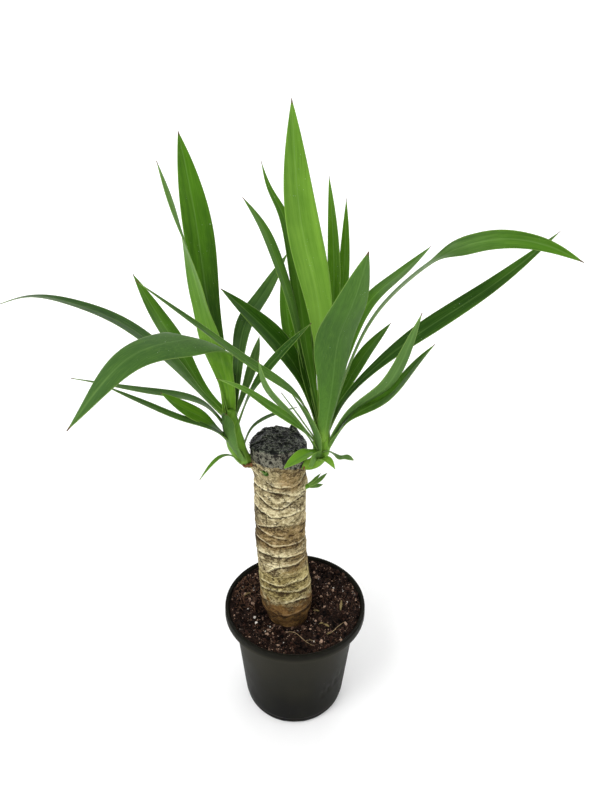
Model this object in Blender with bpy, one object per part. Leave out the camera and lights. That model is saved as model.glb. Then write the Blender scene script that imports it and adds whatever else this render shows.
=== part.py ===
"""A two-headed yucca on a cut cane, standing in a round black plastic nursery pot.

Millimetres times MM give metres. +Z is up, and the origin is the centre of the pot's flat base.
The front, from which the plant was photographed, faces -Y.
"""
from collections import namedtuple
from math import cos, exp, pi, radians, sin

import bmesh
import bpy
import numpy as np
from mathutils import Vector

MM = 0.001
GAP = 0.3                    # clearance between pieces that touch on the real plant

# Pot
POT_HEIGHT = 140.0
RIM_RADIUS = 85.0            # a 17 cm nursery pot
RIM_DROP = 10.0              # height of the rim's turned-down skirt
MOUTH_RADIUS = 78.0
SHOULDER_RADIUS = 74.3       # wall just under the rim
SHOULDER_HEIGHT = 127.0
FOOT_RADIUS = 62.6           # wall just above the rounded bottom edge
FOOT_HEIGHT = 11.0
BASE_RADIUS = 58.5           # the flat that it stands on
WALL = 1.3
ROUND = 1.4                  # how far the plastic's edges are rounded
RIM_PLATE = 2.2              # thickness of the rim's flat top
MOUTH_DEPTH = 4.0            # how far below the top the rim meets the wall
MOUTH_DRAFT = 0.8            # how much narrower the mouth is at that depth
FOOT_TAPER = 0.6
POT_SIDES = 48
NOTCHES = 8                  # drain notches round the bottom edge
NOTCH = (14.0, 14.0, 3.2)    # along the edge, across it, height
NOTCH_PLACE = 61.5           # distance of a notch's middle from the axis

# Soil
SOIL_LEVEL = 133.5
SOIL_DIP = 8.5               # how far the soil falls towards the cane
SOIL_DIP_REACH = (24.0, 52.0)  # where the fall ends and starts, from the cane's middle
HOLE_GAP = 0.6               # clearance round the cane in its hole
SOIL_RINGS = (75.5, 66.0, 55.0, 43.0, 33.0)

# Trunk
TRUNK_LINE = [(-7, -6, 60), (-9, -4, 136), (-14.5, 0, 192), (-17.5, 3, 256), (-18, 3, 315), (-20, 3, 361)]
TRUNK_FOOT = 60.0            # lowest point of the cane, inside the soil
TRUNK_TOP = 360.0            # the cut
TRUNK_RADIUS = 28.4
TRUNK_SWELL = 1.6            # how much thicker it is near the soil
TRUNK_NECK_RADIUS = 24.0     # where it enters the soil
TRUNK_END_RADIUS = 20.0
NECK_HEIGHT = 126.0
SWELL_HEIGHT = 146.0
SWELL_END = 215.0            # where the swelling near the soil has gone
BARK_BOTTOM = 132.0
BARK_TOP = 328.0             # above this the cane is smooth, under the wax
BARK_FADE = 4.0
RING_SPACING = 12.0          # between leaf scars
RING_RELIEF = 1.1
TRUNK_SIDES = 30
TRUNK_ROW = 6.0

# Wax cap
WAX = 1.6                    # thickness of the coat
WAX_EDGE = 340.5             # height of its lower edge
WAX_EDGE_DROP = 8.0          # it reaches lower on the right
WAX_EDGE_RISE = 3.0          # and higher on the left
WAX_RINGS = (28.3, 20.0, 10.0)  # rings of points on its face
SNAG_PLACE = (-5, 24)
SNAG_HEIGHT = 10.0
SNAG_RADIUS = 5.0
SNAG_TIP_RADIUS = 1.6

# Leaves
BLADE_EDGE = 0.8
BLADE_MIDDLE = 1.7
BLADE_STEP = 26.0            # distance between a blade's cross sections
TIP_HALF_WIDTH = 1.0
NECK_AT = 0.12               # share of the length where a leaf is narrowest
BASE_SHARE = 0.50            # width at the root, as a share of the full width
NECK_SHARE = 0.34
BASE_WRAP = 75.0             # how far the root curls round the stem, degrees each way

Leaf = namedtuple("Leaf", "seat knees tip width roll cup belly",
                  defaults=[(0, 0, 0), 22, 0.57])
# seat is the height where the leaf leaves its stem, knees and tip are points on its midrib,
# width is its widest, roll turns it about its midrib by degrees spread evenly from root to tip, cup is
# how far each half bends up (degrees), and belly is the share of the length where it is widest.

LEFT_STEM = [(-40, -1, 331), (-54, -3, 338), (-61, -4, 349), (-66, -5, 370), (-67, -5, 398)]
LEFT_STEM_RADII = [6.5, 8.0, 10.0, 8.0, 4.5]
LEFT_LEAVES = {
    "tall_back": Leaf(388, [(-78, 15, 434), (-91, 35, 492), (-104, 65, 571)], (-122, 95, 658), 33,
                      belly=0.64),
    "front_twisting": Leaf(384, [(-77, 5, 427), (-90, 12, 482), (-107, 18, 560)], (-129, 22, 633), 25,
                           (0, -110, -190), belly=0.40),
    "blue_back": Leaf(384, [(-61, 15, 439), (-56, 45, 473), (-40, 80, 495)], (-13, 120, 535), 21),
    "pale_back": Leaf(386, [(-52, 45, 417)], (-45, 100, 443), 12),
    "towards_right": Leaf(378, [(-52, -3, 406), (-40, -7, 430), (-14, -12, 465)], (13, -10, 493), 14,
                          (0, 35, 35)),
    "thin_over_wax": Leaf(350, [(-48, 10, 370), (-23, 20, 382)], (0, 25, 388), 7),
    "far_left_arch": Leaf(384, [(-95, 5, 406), (-117, 10, 431), (-177, 25, 478), (-225, 30, 497),
                                (-276, 30, 504)], (-302, 25, 497), 23, (0, -6, 0), belly=0.42),
    "steep_left": Leaf(386, [(-103, 30, 409), (-131, 60, 441), (-155, 90, 463)], (-193, 130, 507), 23),
    "broad_drooping": Leaf(378, [(-70, 3, 416), (-74, 5, 437), (-76, -4, 458), (-78, -26, 474),
                                 (-86, -55, 490), (-102, -85, 498), (-129, -120, 497), (-155, -150, 472)],
                           (-170, -160, 453), 38, (190, 195, 182, 154, 158, 175), belly=0.42),
    "low_left": Leaf(372, [(-94, -15, 409), (-133, -25, 425), (-178, -35, 437)], (-210, -45, 448), 13,
                     (0, -15, 0), belly=0.35),
    "low_broad": Leaf(364, [(-95, -22, 397), (-111, -30, 411)], (-129, -40, 432), 19, (0, -35, -35)),
    "low_thin": Leaf(356, [(-80, -25, 383), (-111, -40, 405), (-136, -55, 425)], (-169, -75, 454), 8),
    "cut_short": Leaf(344, [(-66, -35, 382)], (-63, -40, 407), 19),
    "low_hook": Leaf(345, [(-71, -30, 359), (-84, -40, 354)], (-96, -50, 342), 5),
}

RIGHT_STEM = [(2, -6, 337), (15, -10, 338), (24, -12, 348), (26, -13, 366), (27, -13, 396)]
RIGHT_STEM_RADII = [6.5, 8.0, 11.5, 10.5, 5.0]
RIGHT_LEAVES = {
    "tallest": Leaf(390, [(17, 22, 517), (5, 35, 563), (-4, 48, 625)], (-8, 55, 686), 38),
    "front_broad": Leaf(376, [(34, -35, 453), (37, -50, 494), (46, -65, 527)], (56, -75, 572), 44,
                        belly=0.60),
    "back_slim": Leaf(388, [(37, 70, 527)], (31, 120, 617), 14),
    "back_slim_2": Leaf(386, [(49, 90, 525)], (52, 140, 592), 13),
    "behind_tallest": Leaf(386, [(6, 20, 476), (-8, 45, 556), (-18, 60, 586), (-30, 75, 606)],
                           (-39, 90, 631), 18, belly=0.45),
    "narrow_left": Leaf(382, [(8, 10, 437), (-9, 15, 510), (-25, 22, 554), (-34, 30, 573)],
                        (-54, 40, 601), 17, belly=0.76),
    "broad_left": Leaf(378, [(5, 5, 428), (-16, 15, 459), (-38, 25, 480)], (-79, 40, 513), 29, (0, -13, -10)),
    "hidden_left": Leaf(384, [(-9, 50, 467)], (-17, 90, 531), 18),
    "inner_short": Leaf(380, [(10, 5, 428)], (-1, 20, 476), 13),
    "inner_long": Leaf(386, [(14, 10, 432)], (5, 40, 506), 14),
    "long_crossing": Leaf(366, [(6, -30, 417), (-9, -45, 440), (-41, -65, 472), (-70, -80, 501)],
                          (-127, -90, 550), 16, (0, -30, -30), belly=0.45),
    "low_crossing": Leaf(354, [(12, -35, 384), (-8, -55, 414), (-30, -75, 440), (-48, -90, 460)],
                         (-67, -95, 470), 13, (0, -55, -55), belly=0.48),
    "pale_sheath": Leaf(350, [(11, -38, 391)], (-3, -44, 418), 18, cup=40, belly=0.40),
    "pale_small": Leaf(366, [(-8, -45, 415), (-27, -60, 446)], (-33, -75, 479), 9, (0, 20, 20)),
    "dry_small": Leaf(370, [(-7, -25, 415)], (-15, -30, 429), 5),
    "right_back": Leaf(380, [(52, 35, 450), (73, 60, 492), (108, 95, 515)], (152, 140, 541), 20),
    "right_wavy": Leaf(376, [(54, 0, 452), (79, 18, 496), (109, 26, 527), (151, 32, 555), (203, 30, 567),
                             (238, 20, 562)], (269, 10, 549), 22, (0, -8, 108), belly=0.72),
    "right_long": Leaf(372, [(48, 5, 404), (80, 20, 436), (130, 40, 470), (204, 70, 511)],
                       (280, 100, 565), 21, (0, 30, 30), belly=0.50),
    "right_short": Leaf(376, [(51, 30, 408), (76, 70, 435)], (108, 110, 458), 17),
    "right_sword": Leaf(360, [(54, -25, 408), (82, -50, 446), (92, -65, 477)], (102, -80, 524), 14,
                        (0, -35, -40)),
    "right_low": Leaf(356, [(57, -25, 403), (86, -40, 431), (103, -50, 460)], (119, -65, 492), 16,
                      (0, 35, 35), belly=0.65),
    "over_wax": Leaf(348, [(2, -48, 363)], (-12, -65, 366), 14, (0, -35, -35)),
    "grey_curl": Leaf(352, [(48, -35, 361)], (57, -40, 363), 6, (0, 40, 40)),
    "low_right": Leaf(345, [(32, -35, 361)], (39, -45, 355), 9),
}

SPROUT_STEM = [(6, -1, 300), (15, -1, 304), (19, -1, 307)]
SPROUT_STEM_RADII = [2.4, 2.6, 1.8]
SPROUT_LEAVES = {
    "long": Leaf(306, [(26, 4, 309)], (33, 10, 315), 3.4),
    "up": Leaf(306, [(21, -5, 315)], (25, -10, 325), 3.4),
    "low": Leaf(304, [(23, -7, 309)], (29, -10, 316), 3.2),
}

BUD_STEM = [(-29, -21, 332), (-32.5, -26, 335.5), (-33.5, -27.5, 339)]
BUD_STEM_RADII = [3.0, 3.2, 1.2]
BUD_LEAVES = {
    "scale": Leaf(336, [(-35, -29, 339)], (-37, -32, 343), 3.6),
    "side": Leaf(336, [(-31, -31, 339)], (-30, -34, 342), 3.2),
}


def clear_scene():
    """Remove whatever objects the file opened with."""
    for old in list(bpy.data.objects):
        bpy.data.objects.remove(old, do_unlink=True)


def material(name, colour, roughness, metallic=0.0):
    """A plain Principled material."""
    made = bpy.data.materials.new(name)
    made.use_nodes = True
    shader = made.node_tree.nodes["Principled BSDF"]
    shader.inputs["Base Color"].default_value = (*colour, 1.0)
    shader.inputs["Roughness"].default_value = roughness
    shader.inputs["Metallic"].default_value = metallic
    return made


def mesh_object(name, points, faces):
    """An object in the scene from points in millimetres, with its faces turned outwards."""
    mesh = bpy.data.meshes.new(name)
    mesh.from_pydata([tuple(MM * value for value in point) for point in points], [], faces)
    shape = bmesh.new()
    shape.from_mesh(mesh)
    bmesh.ops.recalc_face_normals(shape, faces=shape.faces)
    shape.to_mesh(mesh)
    shape.free()
    made = bpy.data.objects.new(name, mesh)
    bpy.context.scene.collection.objects.link(made)
    return made


def dress(piece, its_material, smooth_angle=35):
    """Give a finished piece its material and smooth shading."""
    piece.data.materials.clear()
    piece.data.materials.append(its_material)
    piece.data.shade_smooth()
    piece.data.set_sharp_from_angle(angle=radians(smooth_angle))


def spline(points, shares):
    """Points at the given shares of the length of a natural cubic spline through the points."""
    knots = np.array(points, float)
    along = np.concatenate([[0], np.cumsum(np.linalg.norm(np.diff(knots, axis=0), axis=1))])
    gaps = np.diff(along)
    system = np.eye(len(knots))
    bends = np.zeros_like(knots)
    for k in range(1, len(knots) - 1):
        system[k, k - 1:k + 2] = gaps[k - 1], 2 * (gaps[k - 1] + gaps[k]), gaps[k]
        bends[k] = 6 * ((knots[k + 1] - knots[k]) / gaps[k] - (knots[k] - knots[k - 1]) / gaps[k - 1])
    bends = np.linalg.solve(system, bends)
    found = []
    for share in shares:
        place = share * along[-1]
        k = int(np.clip(np.searchsorted(along, place) - 1, 0, len(gaps) - 1))
        before, after, gap = place - along[k], along[k + 1] - place, gaps[k]
        found.append((bends[k] * after ** 3 + bends[k + 1] * before ** 3) / (6 * gap)
                     + (knots[k] / gap - bends[k] * gap / 6) * after
                     + (knots[k + 1] / gap - bends[k + 1] * gap / 6) * before)
    return np.array(found)


def smooth_step(low, high, value):
    """0 below low, 1 above high, and an S-curve between."""
    share = min(max((value - low) / (high - low), 0.0), 1.0)
    return share * share * (3 - 2 * share)


def turned(name, profile, sides, centre=lambda z: (0.0, 0.0)):
    """A closed solid round an upright axis. profile(angle) lists (radius, height), axis to axis."""
    points, faces, rows = [], [], len(profile(0.0))
    for side in range(sides):
        angle = 2 * pi * side / sides
        for radius, z in profile(angle)[1:-1]:
            x, y = centre(z)
            points.append((x + radius * cos(angle), y + radius * sin(angle), z))
    inner = rows - 2
    for z in (profile(0.0)[0][1], profile(0.0)[-1][1]):
        points.append((*centre(z), z))
    first, last = len(points) - 2, len(points) - 1
    for side in range(sides):
        here, there = side * inner, (side + 1) % sides * inner
        faces.append((first, here, there))
        faces.append((last, there + inner - 1, here + inner - 1))
        for row in range(inner - 1):
            faces.append((here + row, here + row + 1, there + row + 1, there + row))
    return mesh_object(name, points, faces)


def tube(name, line, radii, sides=10):
    """A round stem along a line of points, tapering through the radii."""
    shares = np.linspace(0, 1, 2 * len(line) - 1)
    middles = spline(line, shares)
    widths = np.interp(shares, np.linspace(0, 1, len(radii)), radii)
    points, faces = [], []
    across = Vector((0, 1, 0))
    for k, middle in enumerate(middles):
        ahead = middles[min(k + 1, len(middles) - 1)] - middles[max(k - 1, 0)]
        ahead = Vector(ahead).normalized()
        side = across.cross(ahead).normalized()
        up = ahead.cross(side)
        for corner in range(sides):
            angle = 2 * pi * corner / sides
            points.append(Vector(middle) + float(widths[k]) * (side * cos(angle) + up * sin(angle)))
    for k in range(len(middles) - 1):
        for corner in range(sides):
            here, there = k * sides + corner, k * sides + (corner + 1) % sides
            faces.append((here, there, there + sides, here + sides))
    faces.append(tuple(range(sides)))
    faces.append(tuple(range(len(points) - sides, len(points))))
    return mesh_object(name, points, faces)


def seat_point(stem, height):
    """The point of a stem's centre line nearest to a height."""
    line = spline(stem, np.linspace(0, 1, 60))
    return line[int(np.argmin(np.abs(line[:, 2] - height)))]


def leaf_width(leaf, share):
    """Full width at a share of the length: clasping root, narrow neck, belly, pointed tip."""
    if share < NECK_AT:
        return leaf.width * (BASE_SHARE + (NECK_SHARE - BASE_SHARE) * smooth_step(0, NECK_AT, share))
    if share < leaf.belly:
        return leaf.width * (NECK_SHARE + (1 - NECK_SHARE) * smooth_step(NECK_AT, leaf.belly, share))
    past = (share - leaf.belly) / (1 - leaf.belly)
    return max(leaf.width * (1 - past * past), 2 * TIP_HALF_WIDTH)


def blend(values, share):
    """A smooth value through values spread evenly from the root to the tip."""
    place = share * (len(values) - 1)
    k = min(int(place), len(values) - 2)
    return values[k] + (values[k + 1] - values[k]) * smooth_step(0, 1, place - k)


def leaf_frames(stem, leaf, shares):
    """Midrib point, width direction and upper-face direction at each share of a leaf."""
    root = seat_point(stem, leaf.seat)
    knots = [root, *leaf.knees, leaf.tip]
    middles = spline(knots, shares)
    ahead = spline(knots, [min(share + 0.01, 1) for share in shares])
    behind = spline(knots, [max(share - 0.01, 0) for share in shares])
    out = Vector((leaf.tip[0] - root[0], leaf.tip[1] - root[1], 0)).normalized()
    flat = Vector((0, 0, 1)).cross(out)
    frames = []
    for middle, before, after, share in zip(middles, behind, ahead, shares):
        along = Vector(after - before).normalized()
        across = (flat - along * flat.dot(along)).normalized()
        face = along.cross(across)
        turn = radians(blend(leaf.roll, share))
        frames.append((Vector(middle), across * cos(turn) + face * sin(turn),
                       face * cos(turn) - across * sin(turn)))
    return frames


def blade(stem, leaf):
    """One leaf as a thin closed solid: three points across each face, split alike on both."""
    root = Vector(seat_point(stem, leaf.seat))
    length = (Vector(leaf.tip) - root).length
    count = max(5, round(length / BLADE_STEP)) + 1
    shares = [k / count for k in range(count)] + [1.0]
    shares.insert(1, 0.5 * shares[1])
    points, faces = [], []
    for share, (middle, across, face) in zip(shares, leaf_frames(stem, leaf, shares)):
        half = 0.5 * leaf_width(leaf, share)
        wrap = radians(leaf.cup + (BASE_WRAP - leaf.cup) * (1 - smooth_step(0, 0.2, share)))
        thick = BLADE_MIDDLE + (BLADE_EDGE - BLADE_MIDDLE) * share
        for upper in (0.5, -0.5):
            for place in (-1, 0, 1):
                bend = wrap * place
                centre = middle + across * (half * sin(bend) / wrap) + face * (half * (1 - cos(bend)) / wrap)
                depth = upper * (BLADE_EDGE if place else max(thick, BLADE_EDGE))
                points.append(centre + (face * cos(bend) - across * sin(bend)) * depth)
    for k in range(len(shares) - 1):
        here, there = 6 * k, 6 * k + 6
        for base in (0, 3):
            for place in (0, 1):
                a, b = here + base + place, here + base + place + 1
                c, d = there + base + place, there + base + place + 1
                faces += [(a, b, c), (b, d, c)]
        for edge in (0, 2):
            a, b, c, d = here + edge, here + edge + 3, there + edge, there + edge + 3
            faces += [(a, b, c), (b, d, c)]
    for end in (0, 6 * (len(shares) - 1)):
        faces += [(end, end + 1, end + 4, end + 3), (end + 1, end + 2, end + 5, end + 4)]
    return mesh_object("blade", points, faces)


def bake(piece):
    """Apply a piece's modifiers to its mesh."""
    ready = piece.evaluated_get(bpy.context.evaluated_depsgraph_get())
    piece.data = bpy.data.meshes.new_from_object(ready)
    piece.modifiers.clear()


def keep_largest(piece):
    """Drop loose scraps and sealed hollows: only the body with the most faces stays."""
    shape = bmesh.new()
    shape.from_mesh(piece.data)
    left, bodies = set(shape.faces), []
    while left:
        edge, body = [left.pop()], []
        while edge:
            face = edge.pop()
            body.append(face)
            for side in face.edges:
                for other in side.link_faces:
                    if other in left:
                        left.remove(other)
                        edge.append(other)
        bodies.append(body)
    bodies.sort(key=len)
    bmesh.ops.delete(shape, geom=[face for body in bodies[:-1] for face in body], context="FACES")
    shape.to_mesh(piece.data)
    shape.free()


def boolean(piece, others, operation, solver="EXACT"):
    """Join others to a piece, or cut them from it, in one step, and remove them."""
    group = bpy.data.collections.new(piece.name + "_" + operation.lower())
    bpy.context.scene.collection.children.link(group)
    for other in others:
        bpy.context.scene.collection.objects.unlink(other)
        group.objects.link(other)
        other.hide_render = True
        other.display_type = "WIRE"
    step = piece.modifiers.new(operation.title(), "BOOLEAN")
    step.operand_type = "COLLECTION"
    step.collection = group
    step.operation = operation
    step.solver = solver
    bake(piece)
    for other in others:
        bpy.data.objects.remove(other, do_unlink=True)
    bpy.data.collections.remove(group)


def pot_wall(radius_change=0.0):
    """The wall's outline from the foot to the shoulder, moved in by radius_change."""
    outline = [(FOOT_RADIUS - FOOT_TAPER, 0.5 * FOOT_HEIGHT), (FOOT_RADIUS, FOOT_HEIGHT),
               (SHOULDER_RADIUS, SHOULDER_HEIGHT)]
    return [(radius - radius_change, z) for radius, z in outline]


def mouth_inside(z):
    """The pot's inner radius at a height between its shoulder and its mouth."""
    share = (z - SHOULDER_HEIGHT) / (POT_HEIGHT - MOUTH_DEPTH - SHOULDER_HEIGHT)
    low, high = SHOULDER_RADIUS - WALL, MOUTH_RADIUS - MOUTH_DRAFT
    return low + (high - low) * share


def make_pot(its_material):
    """The thin plastic pot: flat floor, foot band, tapered wall, shoulder and rolled rim."""
    rim, skirt = RIM_RADIUS, POT_HEIGHT - RIM_DROP
    mouth, mouth_height = MOUTH_RADIUS - MOUTH_DRAFT, POT_HEIGHT - MOUTH_DEPTH
    floor = [(0, WALL), (BASE_RADIUS - ROUND, WALL), (BASE_RADIUS, WALL + 0.5 * ROUND)]
    rim_top = [(MOUTH_RADIUS, POT_HEIGHT - ROUND), (MOUTH_RADIUS + ROUND, POT_HEIGHT),
               (rim - ROUND, POT_HEIGHT), (rim, POT_HEIGHT - ROUND)]
    rim_inside = [(rim, skirt), (rim - WALL, skirt), (rim - WALL, POT_HEIGHT - RIM_PLATE),
                  (MOUTH_RADIUS + ROUND, POT_HEIGHT - RIM_PLATE)]
    foot = [(FOOT_RADIUS - ROUND, ROUND), (BASE_RADIUS, 0), (0, 0)]
    profile = [*floor, *pot_wall(WALL), (mouth, mouth_height), *rim_top, *rim_inside,
               (mouth + WALL, mouth_height), *reversed(pot_wall()), *foot]
    pot = turned("pot", lambda angle: profile, POT_SIDES)
    boolean(pot, [notch_cutter(number) for number in range(NOTCHES)], "DIFFERENCE")
    dress(pot, its_material)


def notch_cutter(number):
    """A box through the bottom edge, where water drains out."""
    angle = -pi / 2 + 2 * pi * number / NOTCHES
    length, depth, height = NOTCH
    points = []
    for z in (-1, height):
        for out, along in ((-1, -1), (1, -1), (1, 1), (-1, 1)):
            radius, side = NOTCH_PLACE + out * depth / 2, along * length / 2
            points.append((radius * cos(angle) - side * sin(angle),
                           radius * sin(angle) + side * cos(angle), z))
    faces = [(0, 1, 2, 3), (4, 5, 6, 7), (0, 1, 5, 4), (1, 2, 6, 5), (2, 3, 7, 6), (3, 0, 4, 7)]
    return mesh_object("notch_cutter", points, faces)


def trunk_centre(z):
    """Where the leaning cane's middle is at a height."""
    line = spline(TRUNK_LINE, np.linspace(0, 1, 80))
    return float(np.interp(z, line[:, 2], line[:, 0])), float(np.interp(z, line[:, 2], line[:, 1]))


def trunk_radius(angle, z):
    """Radius of the cane: tapered foot, swollen base, then bark with tilted ring scars."""
    foot = TRUNK_END_RADIUS + (TRUNK_NECK_RADIUS - TRUNK_END_RADIUS) * smooth_step(TRUNK_FOOT, NECK_HEIGHT, z)
    body = TRUNK_RADIUS + TRUNK_SWELL * (1 - smooth_step(SWELL_HEIGHT, SWELL_END, z))
    radius = foot + (body - foot) * smooth_step(NECK_HEIGHT, SWELL_HEIGHT, z)
    rings = z / RING_SPACING + 0.30 * sin(angle + 0.021 * z) + 0.16 * sin(2 * angle - 0.05 * z + 1.0)
    scar = RING_RELIEF * (1.0 - rings % 1.0) + 0.5 * sin(3 * angle + 0.04 * z)
    fade = 1 - smooth_step(BARK_TOP - BARK_FADE, BARK_TOP, z)
    return radius + smooth_step(BARK_BOTTOM, SWELL_HEIGHT, z) * fade * scar


def make_trunk(its_material, sockets):
    """The cane, from its foot in the soil to its cut top, with a socket for each shoot."""
    rows = int(round((TRUNK_TOP - NECK_HEIGHT) / TRUNK_ROW))
    heights = [TRUNK_FOOT, *[NECK_HEIGHT + (TRUNK_TOP - NECK_HEIGHT) * k / rows for k in range(rows + 1)]]

    def profile(angle):
        return [(0, TRUNK_FOOT), *[(trunk_radius(angle, z), z) for z in heights], (0, TRUNK_TOP)]

    trunk = turned("trunk", profile, TRUNK_SIDES, trunk_centre)
    boolean(trunk, sockets, "DIFFERENCE")
    dress(trunk, its_material)


def soil_height(x, y):
    """The soil's uneven top, lower close to the cane."""
    middle_x, middle_y = trunk_centre(SOIL_LEVEL)
    away = ((x - middle_x) ** 2 + (y - middle_y) ** 2) ** 0.5
    waves = 0.9 * sin(0.11 * x + 0.5) * cos(0.13 * y) + 0.5 * sin(0.31 * x - 0.27 * y)
    return SOIL_LEVEL + waves - SOIL_DIP * (1 - smooth_step(*SOIL_DIP_REACH, away))


def make_soil(its_material):
    """The soil: it fills the pot to just under the rim and has a plain hole for the cane."""
    wall, floor = pot_wall(WALL + GAP), WALL + GAP

    def profile(angle):
        rings = [(radius, soil_height(radius * cos(angle), radius * sin(angle))) for radius in SOIL_RINGS]
        rings[0] = (mouth_inside(rings[0][1]) - GAP, rings[0][1])
        return [(0, floor), (BASE_RADIUS - ROUND - GAP, floor), (BASE_RADIUS - 2 * GAP, floor + 0.5 * ROUND),
                *wall, *rings, (0, SOIL_LEVEL - SOIL_DIP)]

    soil = turned("soil", profile, POT_SIDES)
    boolean(soil, [cane_hole()], "DIFFERENCE")
    dress(soil, its_material)


def cane_hole():
    """The cutter for the soil's hole: the cane's smooth foot, one gap larger."""
    heights = [TRUNK_FOOT - GAP, *[NECK_HEIGHT + TRUNK_ROW * k for k in range(4)]]

    def profile(angle):
        return [(0, heights[0]), *[(trunk_radius(angle, z) + HOLE_GAP, z) for z in heights],
                (0, heights[-1])]

    return turned("cane_hole", profile, TRUNK_SIDES, trunk_centre)


def wax_edge(angle):
    """Height of the wax coat's lower edge, which is tilted and uneven."""
    drop = WAX_EDGE_DROP * max(cos(angle), 0) ** 1.5
    rise = WAX_EDGE_RISE * exp(-((angle - pi) / 0.5) ** 2)
    return WAX_EDGE - drop + rise + sin(3 * angle + 0.7)


def make_wax_cap(its_material, sockets):
    """A thin coat of wax over the cane's cut top, with a rough face and a small snag."""
    inner, outer = TRUNK_RADIUS + GAP, TRUNK_RADIUS + GAP + WAX
    under, top = TRUNK_TOP + GAP, TRUNK_TOP + GAP + WAX

    def rough(angle, z):
        return 0.35 * sin(5 * angle + 0.3 * z) + 0.2 * sin(9 * angle - 0.5 * z)

    def profile(angle):
        edge = wax_edge(angle)
        side = [(outer + rough(angle, z) + 0.4, z) for z in (edge + 0.8, 0.5 * (edge + top), top - 3)]
        face = [(radius, top + 0.5 * rough(2 * angle, radius)) for radius in WAX_RINGS]
        return [(0, under), (inner, under), (inner, edge), (outer - 0.3, edge), *side, *face, (0, top)]

    cap = turned("wax_cap", profile, TRUNK_SIDES, trunk_centre)
    x, y = SNAG_PLACE
    snag_foot, snag_top = under + GAP, top + SNAG_HEIGHT
    snag_profile = [(0, snag_foot), (SNAG_RADIUS, snag_foot), (0.7 * SNAG_RADIUS, top + 0.4 * SNAG_HEIGHT),
                    (SNAG_TIP_RADIUS, snag_top), (0, snag_top)]
    snag = turned("snag", lambda angle: snag_profile, 8, lambda z: (x + 0.25 * (z - top), y))
    boolean(cap, [snag], "UNION")
    boolean(cap, sockets, "DIFFERENCE")
    dress(cap, its_material, smooth_angle=50)


def make_shoot(name, stem, radii, leaves, its_material, sides=10, solver="EXACT"):
    """A leafy stem: every blade is fused to the stem that it grows from."""
    shoot = tube(name, stem, radii, sides)
    boolean(shoot, [blade(stem, leaf) for leaf in leaves.values()], "UNION", solver)
    keep_largest(shoot)
    dress(shoot, its_material)


def socket(stem, radii, sides=10):
    """A cutter for the hole that a shoot's base stands in: the base itself, one gap larger."""
    first, second = np.array(stem[0], float), np.array(stem[1], float)
    inward = first - GAP * (second - first) / np.linalg.norm(second - first)
    return tube("socket", [tuple(inward), *stem[1:]], [radius + 1.05 * GAP for radius in radii], sides)


def main():
    clear_scene()
    plastic = material("black_plastic", (0.018, 0.020, 0.019), 0.45)
    peat = material("potting_soil", (0.035, 0.020, 0.015), 0.95)
    bark = material("cane_bark", (0.52, 0.42, 0.25), 0.85)
    wax = material("wound_wax", (0.020, 0.020, 0.018), 0.60)
    left_green = material("left_leaves", (0.060, 0.190, 0.025), 0.42)
    right_green = material("right_leaves", (0.085, 0.240, 0.030), 0.42)
    young_green = material("sprout_green", (0.130, 0.260, 0.050), 0.50)
    bud_green = material("bud_green", (0.110, 0.170, 0.060), 0.60)

    make_pot(plastic)
    make_soil(peat)
    make_trunk(bark, [socket(LEFT_STEM, LEFT_STEM_RADII), socket(RIGHT_STEM, RIGHT_STEM_RADII),
                      socket(SPROUT_STEM, SPROUT_STEM_RADII, 6), socket(BUD_STEM, BUD_STEM_RADII, 6)])
    make_wax_cap(wax, [socket(LEFT_STEM, LEFT_STEM_RADII), socket(RIGHT_STEM, RIGHT_STEM_RADII),
                       socket(BUD_STEM, BUD_STEM_RADII, 6)])
    make_shoot("shoot_left", LEFT_STEM, LEFT_STEM_RADII, LEFT_LEAVES, left_green)
    make_shoot("shoot_right", RIGHT_STEM, RIGHT_STEM_RADII, RIGHT_LEAVES, right_green)
    make_shoot("sprout", SPROUT_STEM, SPROUT_STEM_RADII, SPROUT_LEAVES, young_green, 6)
    make_shoot("bud_front", BUD_STEM, BUD_STEM_RADII, BUD_LEAVES, bud_green, 6)


main()
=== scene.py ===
# %% [markdown]
# # A potted yucca, dressed around its CAD model
#
# The plant is a cut cane with two leafy heads. It stands in a black plastic nursery pot, and black
# wax seals its cut top. The CAD model gives every size and place, and it is loaded first and never
# changed. Each later cell builds one finer piece in the same space, with a material made of nodes.

# %% Load the CAD model
from collections import namedtuple
from math import cos, pi, radians, sin

import bmesh
import bpy
import numpy as np
from mathutils import Euler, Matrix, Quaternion, Vector


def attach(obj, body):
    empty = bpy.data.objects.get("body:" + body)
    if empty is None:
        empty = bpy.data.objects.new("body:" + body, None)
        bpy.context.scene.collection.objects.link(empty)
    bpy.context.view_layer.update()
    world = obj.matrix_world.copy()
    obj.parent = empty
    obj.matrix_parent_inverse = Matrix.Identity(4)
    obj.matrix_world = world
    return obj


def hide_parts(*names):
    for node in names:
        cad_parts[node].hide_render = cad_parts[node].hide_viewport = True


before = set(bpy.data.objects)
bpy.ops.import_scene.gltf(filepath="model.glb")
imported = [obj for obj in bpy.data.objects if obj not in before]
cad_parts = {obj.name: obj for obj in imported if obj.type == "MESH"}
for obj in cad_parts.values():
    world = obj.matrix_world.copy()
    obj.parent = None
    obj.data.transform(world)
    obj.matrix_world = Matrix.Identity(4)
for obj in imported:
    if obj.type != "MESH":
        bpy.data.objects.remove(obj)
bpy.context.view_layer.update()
MM = 0.001
print("CAD nodes:", sorted(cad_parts))

# %% [markdown]
# ## The camera
#
# A camera can be placed by eye, or worked out from known sizes in the photo. Here the round mouth
# and base of the pot, whose sizes are known, gave its height, its tilt and its distance. A short
# lens this close to the plant is why the leaves seem so large beside the pot.

# %% Camera
LENS = 26.0
CAMERA_PLACE = (0.003, -0.540, 0.654)
LOOK_DOWN = 24.5
CAMERA_ROLL = 0.7


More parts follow.
